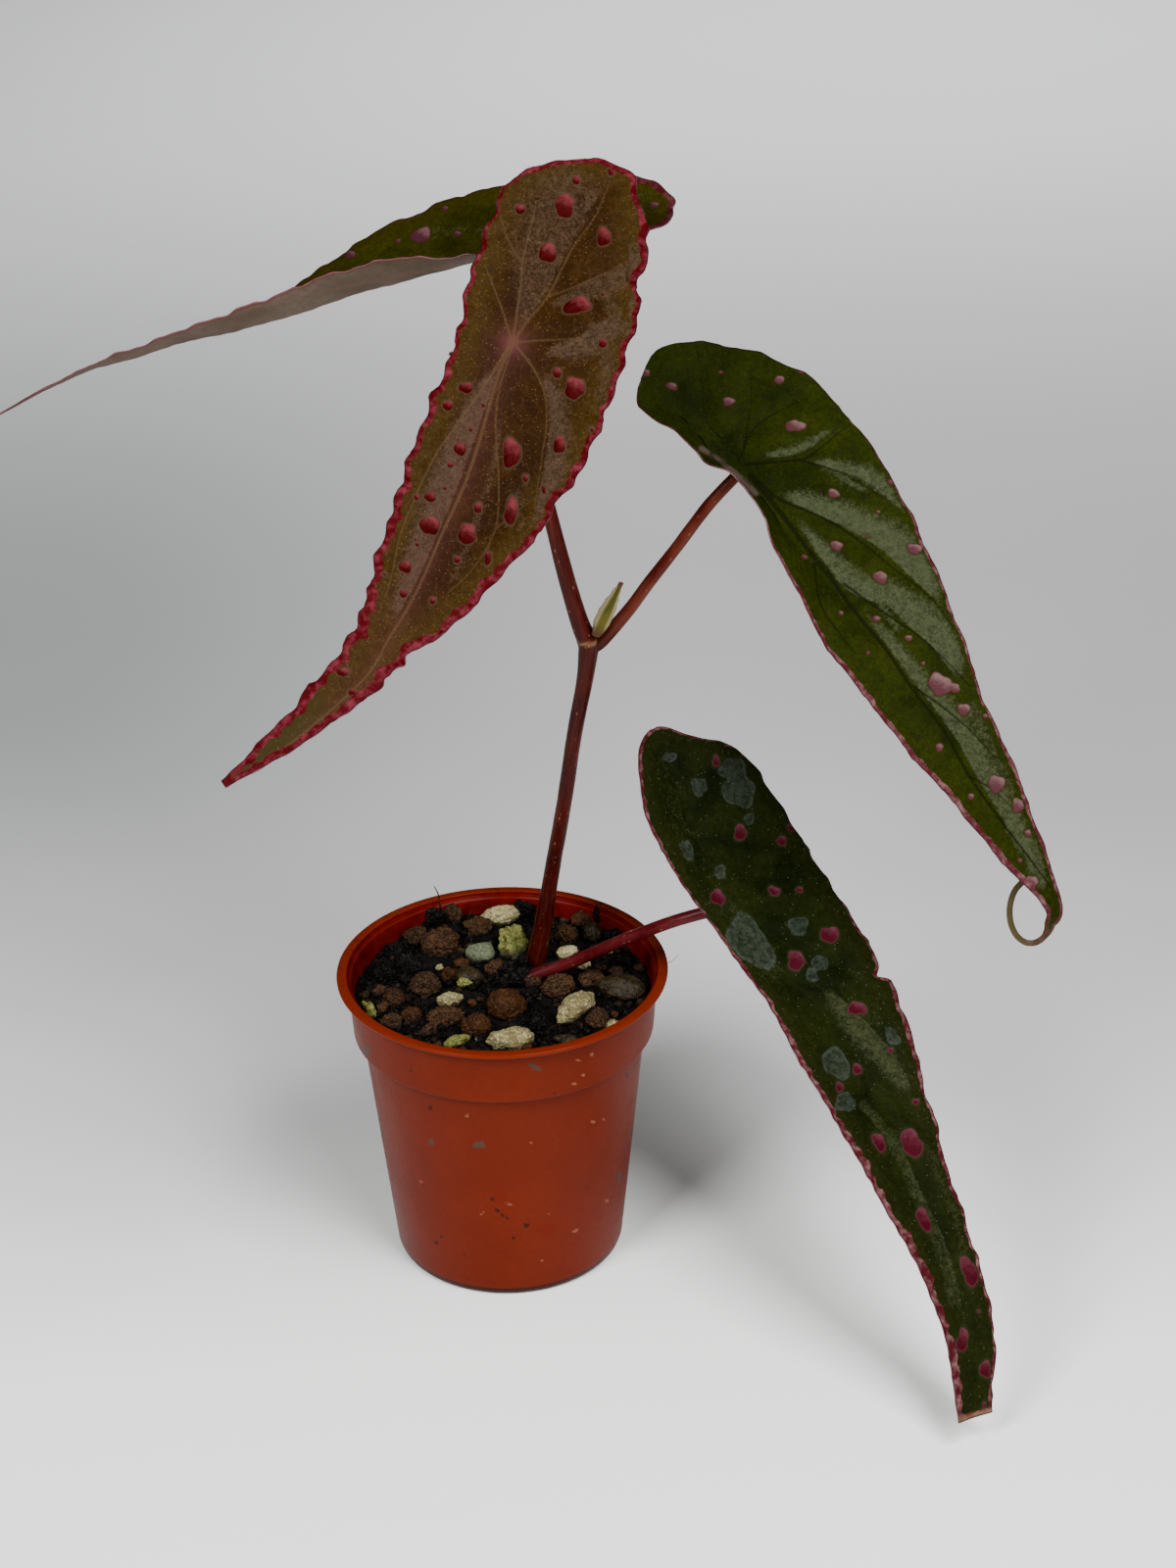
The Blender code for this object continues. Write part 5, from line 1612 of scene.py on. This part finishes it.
def tube(path, flatness=1.0, end_normal=None, hint=(0.0, -1.0, 0.0), swell=None):
    """Extrude a ring along a path of (x, y, z, radius), cap it, and keep its own grain."""
    length = along(path, 50)[1][-1]
    data, places = along(path, max(12, int(length / STALK_STEP)))
    points = [Vector(row[:3]) for row in data]
    directions = [
        (points[min(i + 1, len(points) - 1)] - points[max(i - 1, 0)]).normalized()
        for i in range(len(points))]
    if end_normal is not None:
        directions[-1] = Vector(end_normal).normalized()
    bm = bmesh.new()
    grain = bm.verts.layers.float_vector.new("grain")
    made = bmesh.ops.create_circle(bm, cap_ends=False, segments=STALK_SIDES, radius=1.0)
    ring = made["verts"]
    shape = [(vert.co.x, vert.co.y) for vert in ring]
    edges = list({edge for vert in ring for edge in vert.link_edges})
    first_edges = edges
    axis = Vector(hint)
    for index, (point, direction) in enumerate(zip(points, directions)):
        if index:
            made = bmesh.ops.extrude_edge_only(bm, edges=edges)["geom"]
            ring = next_ring(ring, made)
            edges = [item for item in made if isinstance(item, bmesh.types.BMEdge)
                     and all(vert in ring for vert in item.verts)]
        axis, other = ring_axes(direction, axis)
        radius = data[index][3]
        for vert, (along_other, along_axis) in zip(ring, shape):
            place = Vector((along_other * radius, along_axis * radius, places[index]))
            size = radius + (swell(place) if swell else 0.0)
            vert.co = point + (other * along_other + axis * along_axis * flatness) * size
            vert[grain] = place
    bmesh.ops.contextual_create(bm, geom=first_edges)
    bmesh.ops.contextual_create(bm, geom=edges)
    bmesh.ops.recalc_face_normals(bm, faces=bm.faces)
    return bm


def bark_swell(place):
    """Slight unevenness of a stalk, with low ridges at the sheath scars."""
    uneven = 0.05 * noise.noise(Vector((place.x, place.y, place.z * 0.3)) * 0.9)
    ridge = sum(0.14 * math.exp(-((place.z - at) / half) ** 2) for at, half, *_ in SCAR_RINGS)
    return uneven + ridge


def plain_swell(place):
    return 0.04 * noise.noise(Vector((place.x, place.y, place.z * 0.3)) * 0.9 + Vector((5, 0, 0)))


def stalk_path(path, kind):
    """A stalk's own points, then a short straight seat square to the leaf's underside."""
    leaf = LEAVES[kind]
    share, across = STALK_AT[kind]
    points, direction, normal, length, blade_length = vein_curve(leaf)
    index = int(np.searchsorted(length, share * blade_length))
    aside = np.cross(direction[index], normal[index])
    width = at_station(leaf["right"], np.array([share]))[0]
    spot = points[index] - aside * width * across
    underside = spot - normal[index] * (LEAF_THICKNESS / 2 + CLEARANCE * 0.3)
    radius = path[-1][3]
    before = underside - normal[index] * STALK_SEAT
    return path + [(*before, radius), (*underside, radius * 1.15)], normal[index]


def keep_scars(piece, rings):
    """Mark the pale rings on the front and left of the cane."""
    aside, _, reach = kept_vectors(piece.data, "grain").T
    scar = np.zeros(len(reach))
    for at, half, share, slope, end in rings:
        slant = reach - at + slope * aside
        cut = np.clip((end - aside) / 0.5, 0, 1)
        scar = np.maximum(scar, share * cut * np.exp(-(slant / half) ** 2))
    keep_measure(piece.data, "scar", scar)


def make_stalks():
    cane = cane_finish("red cane")
    bright = cane_finish("red stalk", 0.42)
    rosy = cane_finish("rosy stalk", 0.25)
    stem = add_piece("cane", tube(STEM, swell=bark_swell), [cane], ["stem"])
    keep_scars(stem, SCAR_RINGS)
    for kind, path in STALKS.items():
        full, normal = stalk_path(path, kind)
        bm = tube(full, end_normal=normal, swell=plain_swell)
        look = rosy if kind == "low" else bright
        stalk = add_piece(kind + "_stalk", bm, [look], ["petiole_" + kind])
        keep_scars(stalk, [])


def sheath_swell(place):
    """A keel down the front of a sheath and a ragged edge near its tip."""
    angle = math.atan2(place.y, place.x)
    keel = 0.22 * max(0.0, math.sin(angle)) ** 6
    ragged = 0.3 * noise.noise(Vector((place.x * 0.4, 2.0, place.z * 1.3)))
    return keel + ragged * abs(math.cos(angle))


def make_sheaths():
    look = sheath_finish()
    for name, path in SHEATHS.items():
        bm = tube(path, flatness=SHEATH_FLATNESS, swell=sheath_swell)
        piece = add_piece(name + "_sheath", bm, [look], ["stipule_" + name])
        aside, ahead, reach = kept_vectors(piece.data, "grain").T
        side = np.abs(aside) / np.maximum(np.hypot(aside, ahead), 0.01)
        wing = np.clip((side - 0.38) / 0.24, 0, 1) * np.clip(reach / 3.0, 0, 1)
        tip = np.clip((reach / reach.max() - 0.86) / 0.12, 0, 1)
        foot = np.clip(1.3 - reach / 2.2, 0, 1) * 0.8
        keep_measure(piece.data, "wing", wing * 0.85)
        keep_measure(piece.data, "scar", np.maximum(tip, foot))


# ---------------------------------------------------------------- potting mix and stones

MIX_LEVEL = 61.3
MIX_SLOPE = 0.055
STONE_SHOWING = 0.22
STONES = [
    ("pumice_back", "pumice", 0.0, 27.6, 9.0, 5.0, 4.4, 8),
    ("zeolite_green", "zeolite", -4.8, 13.5, 6.8, 5.6, 5.2, 20),
    ("lava_round", "lava", -13.2, 16.6, 8.0, 7.2, 6.6, 0),
    ("lava_behind_stem", "lava", 14.3, 18.8, 4.8, 4.8, 5.0, 30),
    ("pebble_cracked", "pebble", 19.7, 19.4, 4.2, 4.6, 5.0, 10),
    ("pumice_chip", "pumice", 14.0, 12.8, 5.0, 3.4, 2.8, 15),
    ("lava_middle", "lava", 11.7, -0.9, 7.0, 5.6, 5.4, 0),
    ("pebble_large", "pebble", 25.0, -2.6, 10.4, 7.0, 5.6, -8),
    ("pumice_long", "pumice", 15.0, -9.0, 11.6, 5.4, 5.2, 52),
    ("lava_by_pumice", "lava", 19.8, -13.4, 4.8, 4.8, 4.8, 0),
    ("bark_front", "bark", 7.4, -11.6, 5.2, 9.0, 4.0, -8),
    ("lava_golden", "lava_gold", 0.6, -7.6, 8.0, 7.2, 6.6, 0),
    ("pumice_front", "pumice", 1.3, -19.6, 9.8, 5.4, 5.0, 6),
    ("lava_front", "lava_gold", -5.8, -14.8, 6.2, 5.2, 5.6, 0),
    ("lava_purple", "lava", -12.2, -10.7, 7.4, 5.0, 4.8, 10),
    ("pumice_left", "pumice", -11.4, -3.6, 5.6, 3.8, 3.2, 12),
    ("pebble_tan", "pebble", -7.1, 3.6, 6.0, 5.2, 4.8, 0),
    ("lava_left", "lava", -16.2, 1.2, 6.4, 5.6, 5.6, 0),
    ("lava_far_left", "lava_gold", -23.0, -3.2, 5.0, 5.0, 4.8, 0),
    ("bark_heap", "bark", -26.2, 6.8, 5.2, 6.0, 4.6, 25),
    ("lava_centre", "lava", -1.2, 7.2, 4.8, 4.2, 3.8, 0),
]
LEAF_SCRAP = (2.4, 15.8, 6.2, 2.4, 7.6)
SCRAP_LEAN = -35.0
# Smaller stones that lie in the mix: place, width, depth, height, lift
SMALL_STONES = {
    "lava": [
        (-10.5, 28.6, 4.8, 4.0, 4.4, 1.0), (-4.6, 24.0, 6.2, 4.6, 4.6, 0.6),
        (19.2, 2.4, 5.2, 4.4, 4.2, 0.4), (-18.6, 20.6, 5.0, 4.6, 4.6, 0.8),
        (-23.2, -10.4, 4.2, 4.0, 3.4, 0.3), (-15.6, -14.2, 3.2, 2.8, 2.8, 0.2),
        (9.6, 24.6, 4.6, 3.8, 4.2, 0.8), (17.6, 25.4, 4.2, 3.6, 4.2, 0.8),
        (-26.0, 0.6, 3.6, 3.4, 3.0, 0.2), (6.4, 2.2, 4.2, 3.0, 2.8, 0.2),
        (24.0, 5.0, 3.2, 3.0, 2.6, 0.4), (-25.4, -5.8, 2.6, 2.4, 2.4, 0.6),
    ],
    "pumice": [
        (23.0, -15.3, 4.2, 3.0, 2.6, 0.5), (17.2, 8.6, 3.4, 2.8, 2.4, 0.4),
        (-13.4, 7.8, 1.8, 1.4, 1.4, 1.2),
    ],
    "scrap": [
        (-28.2, -7.3, 2.2, 5.4, 3.4, 1.0), (-9.8, -19.0, 5.6, 2.6, 2.2, 0.8),
        (-8.2, 1.2, 3.4, 1.6, 2.0, 1.4),
    ],
    "bark": [
        (21.8, 25.0, 4.0, 4.0, 6.0, 1.6), (-14.8, 27.2, 3.6, 2.8, 4.4, 1.4),
        (-20.0, 10.2, 5.8, 4.8, 4.4, 0.6), (5.2, 28.6, 5.0, 4.0, 6.0, 1.6),
        (26.0, 10.0, 5.6, 4.6, 3.6, 0.3), (-2.0, -1.4, 4.6, 3.6, 3.4, 0.2),
        (-22.6, 15.4, 4.6, 4.0, 4.6, 1.0), (24.6, 18.2, 4.4, 3.8, 3.8, 0.6),
        (11.0, -16.0, 4.0, 3.4, 3.0, 0.3), (-20.6, 4.6, 4.0, 3.2, 3.0, 0.3),
        (10.5, 6.2, 4.0, 3.0, 2.6, 0.2), (-5.4, -9.6, 3.6, 3.0, 2.8, 0.3),
        (-17.2, -4.6, 3.6, 3.2, 2.8, 0.4), (1.2, 5.6, 4.4, 3.4, 4.6, 1.3),
        (4.0, 4.2, 3.8, 3.0, 4.2, 1.3), (4.3, 8.6, 3.0, 2.6, 4.4, 1.6),
        (-1.6, 3.6, 3.4, 2.8, 3.2, 0.7), (-13.4, 25.6, 2.2, 2.2, 5.0, 2.2),
        (0.4, 1.8, 3.0, 2.6, 2.6, 0.8), (-27.6, 2.4, 4.0, 3.4, 3.2, 0.4),
        (22.2, -8.2, 3.0, 3.2, 3.0, 0.2), (3.0, 2.2, 4.6, 3.2, 3.6, 0.9),
    ],
    "pebble": [
        (13.2, -20.1, 6.0, 2.6, 3.0, 0.3), (2.2, 4.2, 3.4, 3.0, 2.8, 0.3),
    ],
    "lava_gold": [
        (-19.3, -9.0, 3.8, 3.8, 3.8, 0.6), (-11.0, 4.6, 4.2, 3.4, 3.6, 1.1),
        (-8.6, 9.4, 3.2, 2.8, 2.8, 0.7),
    ],
}
GRIT_SHARES = [
    ("bark", 0.7), ("lava", 0.19), ("lava_gold", 0.08), ("pebble", 0.022), ("pumice", 0.008)]
GRIT_COUNT = 1300
GRIT_REACH = 30.4
# How each kind is shaped: flat cuts, how deep they go, coarse lumps and pits
STONE_SHAPES = {
    "zeolite": (7, (0.62, 0.8), 0.03, 0.0), "pumice": (5, (0.78, 0.92), 0.09, 0.07),
    "bark": (7, (0.55, 0.8), 0.2, 0.06), "pebble": (2, (0.88, 0.95), 0.06, 0.03),
    "lava": (3, (0.8, 0.95), 0.17, 0.17), "lava_gold": (2, (0.88, 0.97), 0.12, 0.13),
    "scrap": (0, (0.9, 1.0), 0.1, 0.0),
}
# How finely a stone's ball is divided, and how much it bulges
STONE_FINENESS, SMALL_FINENESS, GRIT_FINENESS = 5, 4, 2
STONE_BULGE, GRIT_BULGE = 0.22, 0.45
CUT_SHARE = 0.85
PIT_RADIUS = 0.42
SCRAP_THICKNESS = 0.45
SCRAP_CELLS = 44
MIX_SEGMENTS = 150
MIX_RINGS = 56


def mix_level(y):
    return MIX_LEVEL + MIX_SLOPE * y


def mix_height(x, y):
    """The crumbly top of the mix."""
    slow = noise.noise(Vector((x, y, 3.0)) * 0.28) + 0.5 * noise.noise(Vector((x, y, 9.0)) * 0.6)
    quick = noise.noise(Vector((x, y, 5.0)) * 1.6)
    return mix_level(y) - 0.5 + 0.7 * slow + 0.45 * quick


def facets(kind, seed):
    """Random flat cuts that give a stone of this kind its angles."""
    rng = np.random.default_rng(seed)
    count, (low, high), _, _ = STONE_SHAPES[kind]
    ways = rng.normal(size=(count, 3))
    return [(Vector(way).normalized(), rng.uniform(low, high)) for way in ways]


def stone_verts(bm, kind, seed, centre, size, turn, fineness, bulge):
    """Push a ball in and out, cut it with facets, stretch it and set it in place."""
    made = bmesh.ops.create_icosphere(bm, subdivisions=fineness, radius=1.0)["verts"]
    spin = Matrix.Rotation(math.radians(turn), 3, "Z")
    cuts = facets(kind, int(abs(seed.x) * 100) + 11)
    lumps, pits = STONE_SHAPES[kind][2:]
    for vert in made:
        way = vert.co.copy()
        spot = way * (1.0 + bulge * noise.noise(way * 1.3 + seed))
        for cut, depth in cuts:
            over = spot.dot(cut) - depth
            if over > 0:
                spot -= cut * over * CUT_SHARE
        if fineness > GRIT_FINENESS:
            detail = lumps * noise.noise(way * 4.5 + seed)
            detail += 0.5 * lumps * noise.noise(way * 10.0 + seed)
            if pits:
                near = noise.voronoi(way * 4.2 + seed)[0][0]
                detail -= pits * max(0.0, PIT_RADIUS - near) / PIT_RADIUS
            spot += way * detail
        stretched = Vector([spot[i] * (size[i] / 2) for i in range(3)])
        vert.co = Vector(centre) + spin @ stretched
    return made


def name_seed(name):
    return Vector((sum(map(ord, name)) * 0.37, len(name) * 1.9, 4.7))


def stone_centre(x, y, height):
    return (x, y, mix_level(y) + height * STONE_SHOWING)


def make_stones(looks):
    for name, kind, x, y, *size, turn in STONES:
        bm = bmesh.new()
        centre = stone_centre(x, y, size[2])
        stone_verts(
            bm, kind, name_seed(name), centre, size, turn, STONE_FINENESS, STONE_BULGE)
        piece = add_piece("stone_" + name, bm, [looks[kind]], [name])
        tint = (sum(map(ord, name)) % 10) / 10.0
        keep_measure(piece.data, "tint", np.full(len(piece.data.vertices), tint))


def make_scrap(look):
    """A crinkled, lobed scrap of leaf that stands in the mix."""
    x, y, wide, thick, tall = LEAF_SCRAP
    pivot = Vector(stone_centre(x, y, tall))
    bm = bmesh.new()
    bmesh.ops.create_grid(bm, x_segments=SCRAP_CELLS, y_segments=SCRAP_CELLS, size=1.0)
    for vert in bm.verts:
        across, up = vert.co.x, vert.co.y
        reach = max(abs(across), abs(up), 1e-6) / max(math.hypot(across, up), 1e-6)
        across, up = across * reach, up * reach
        angle = math.atan2(up, across)
        lobes = 1.0 + 0.1 * math.cos(5 * angle + 0.6) + 0.05 * math.cos(13 * angle)
        fold = 0.55 * abs(across) - 0.25 + 0.22 * math.sin(7 * across + 2 * up)
        crinkle = 0.5 * noise.noise(Vector((across * 3, up * 3, 1.7)))
        vert.co = pivot + Vector((
            across * lobes * wide / 2, (fold + crinkle) * thick * 0.45, up * lobes * tall / 2))
    lean = Matrix.Rotation(math.radians(SCRAP_LEAN), 3, "X")
    bmesh.ops.rotate(bm, verts=bm.verts, cent=pivot, matrix=lean)
    piece = add_piece("stone_leaf_scrap", bm, [look], ["leaf_scrap"])
    keep_measure(piece.data, "tint", np.full(len(piece.data.vertices), 0.6))
    thicken = piece.modifiers.new("thickness", "SOLIDIFY")
    thicken.thickness = SCRAP_THICKNESS * MM
    thicken.offset = 0.0


def near_stone(x, y):
    """True where a large stone or the cane already fills the place."""
    for _, _, cx, cy, wide, deep, _, _ in STONES:
        if math.hypot((x - cx) / (wide * 0.36), (y - cy) / (deep * 0.36)) < 1.0:
            return True
    return math.hypot(x - 7.2, y - 12.1) < 2.2


def scatter_grit(rng, grains):
    """Add grit of every kind, evenly over the mix and clear of the large stones."""
    shares = [share for _, share in GRIT_SHARES]
    for pick in rng.choice(len(shares), GRIT_COUNT, p=shares):
        radius = GRIT_REACH * math.sqrt(rng.uniform(0.0, 1.0))
        angle = rng.uniform(0.0, math.tau)
        x, y = radius * math.cos(angle), radius * math.sin(angle)
        size = 0.9 + 1.7 * rng.uniform() ** 2
        flat = rng.uniform(0.6, 1.0, 2)
        if near_stone(x, y):
            continue
        z = mix_height(x, y) + size * rng.uniform(0.0, 0.35)
        grain = ((x, y, z), (size, size * flat[0], size * flat[1]), GRIT_FINENESS)
        grains[GRIT_SHARES[pick][0]].append(grain)


def make_small_stones(looks):
    """Grit and small stones, one piece for each kind, each grain with its own tint."""
    rng = np.random.default_rng(41)
    grains = {kind: [] for kind in [kind for kind, _ in GRIT_SHARES] + ["scrap"]}
    for kind, stones in SMALL_STONES.items():
        for x, y, *size, lift in stones:
            grains[kind].append(((x, y, mix_level(y) + lift), size, SMALL_FINENESS))
    scatter_grit(rng, grains)
    for kind, group in grains.items():
        bm = bmesh.new()
        spare = bpy.data.meshes.new("spare grain")
        tints = []
        for centre, size, fineness in group:
            seed = Vector(rng.uniform(-40.0, 40.0, 3))
            least, most = (0.0, 360.0) if fineness == GRIT_FINENESS else (-25.0, 25.0)
            turn = rng.uniform(least, most)
            grain = bmesh.new()
            made = stone_verts(grain, kind, seed, centre, size, turn, fineness, GRIT_BULGE)
            tints += [rng.uniform(0.0, 1.0)] * len(made)
            grain.to_mesh(spare)
            grain.free()
            bm.from_mesh(spare)
        bpy.data.meshes.remove(spare)
        piece = add_piece("grit_" + kind, bm, [looks[kind]], (), 32.0)
        keep_measure(piece.data, "tint", tints)


def make_mix(look):
    """The fill of the pot: a turned body with a crumbly top."""
    low = POT_HEIGHT - COLLAR_HEIGHT
    inset = WALL + CLEARANCE
    throat = COLLAR_LOW_RADIUS - inset
    wall = [
        (0.0, FLOOR_TOP + CLEARANCE), (CHANNEL_OUTER, FLOOR_TOP + CLEARANCE),
        (body_radius(2.5) - inset - 0.6, 2.5), (body_radius(3.1) - inset, 3.1),
        (BODY_TOP_RADIUS - inset, low - 0.6),
        (throat, low + 0.8), (throat + 0.3, 58.8)]
    edge = throat + 0.45
    top = [(edge * ring / MIX_RINGS, MIX_LEVEL) for ring in range(MIX_RINGS, -1, -1)]
    bm = turned(wall + top, MIX_SEGMENTS)
    for vert in bm.verts:
        if vert.co.z > MIX_LEVEL - 0.5:
            vert.co.z = mix_height(vert.co.x, vert.co.y)
    add_piece("mix_body", bm, [look], ["potting_mix"])


# Root fibres: points in millimetres, and their thickness
FIBRES = [
    (0.26, [(-12.6, 27.0, 63.0), (-13.0, 27.2, 66.4), (-13.4, 27.6, 69.5), (-14.2, 27.8, 71.6)]),
    (0.16, [(-7.2, 27.4, 63.4), (-5.8, 27.8, 65.8), (-3.6, 28.0, 66.4), (-1.4, 27.8, 65.2)]),
    (0.14, [(6.4, 3.6, 62.6), (10.6, 3.0, 66.0), (14.8, 2.4, 66.6), (18.6, 1.0, 64.8)]),
    (0.08, [(33.9, 2.2, 65.4), (35.4, 1.8, 65.8), (36.8, 2.2, 66.6), (37.6, 2.8, 67.2)]),
    (0.1, [(-15.0, -12.6, 63.0), (-12.0, -13.6, 64.6), (-8.6, -14.6, 64.4), (-6.0, -17.6, 62.8)]),
    (0.1, [(28.0, -8.4, 62.4), (28.6, -6.2, 64.2), (29.4, -4.0, 64.8), (30.2, -1.6, 63.6)]),
    (0.09, [(20.2, 17.6, 63.4), (20.6, 17.0, 65.6), (19.6, 17.2, 67.0), (20.8, 17.4, 67.6)]),
    (0.1, [(9.0, -17.8, 62.4), (11.8, -18.6, 64.0), (14.6, -18.4, 64.0), (17.4, -17.2, 62.8)]),
    (0.09, [(-20.0, -6.6, 62.4), (-17.4, -7.4, 64.4), (-14.4, -7.8, 64.6), (-12.0, -6.6, 63.4)]),
]


def make_fibres(look):
    data = bpy.data.curves.new("root_fibres", "CURVE")
    data.dimensions = "3D"
    data.bevel_depth = MM
    data.bevel_resolution = 2
    data.use_fill_caps = True
    for thick, points in FIBRES:
        smooth = along(points, 24)[0]
        spline = data.splines.new("POLY")
        spline.points.add(len(smooth) - 1)
        for index, (point, place) in enumerate(zip(spline.points, smooth)):
            wobble = 0.12 * noise.noise(Vector(place) * 1.1)
            point.co = ((place[0] + wobble) * MM, (place[1] + wobble) * MM, place[2] * MM, 1.0)
            point.radius = thick * (1.0 - 0.6 * index / len(smooth))
    data.materials.append(look)
    piece = bpy.data.objects.new("root_fibres", data)
    bpy.context.scene.collection.objects.link(piece)
    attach(piece, "root")


# ---------------------------------------------------------------- build everything

UNDERSIDE = leaf_under_finish()
LEAF_EDGE = leaf_edge_finish()
LEAF_SLOTS = {
    "front": "leaf_front", "rear": "leaf_green", "right": "leaf_green", "low": "leaf_low"}


def main():
    make_camera()
    make_studio()
    make_floor()
    make_pot()
    make_mix(mix_finish())
    looks = {kind: stone_finish(kind) for kind in STONE_LOOKS}
    make_stones(looks)
    make_scrap(looks["scrap"])
    make_small_stones(looks)
    make_fibres(fibre_finish())
    make_stalks()
    make_sheaths()
    for kind, slot in LEAF_SLOTS.items():
        make_leaf(kind)
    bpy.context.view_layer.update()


main()
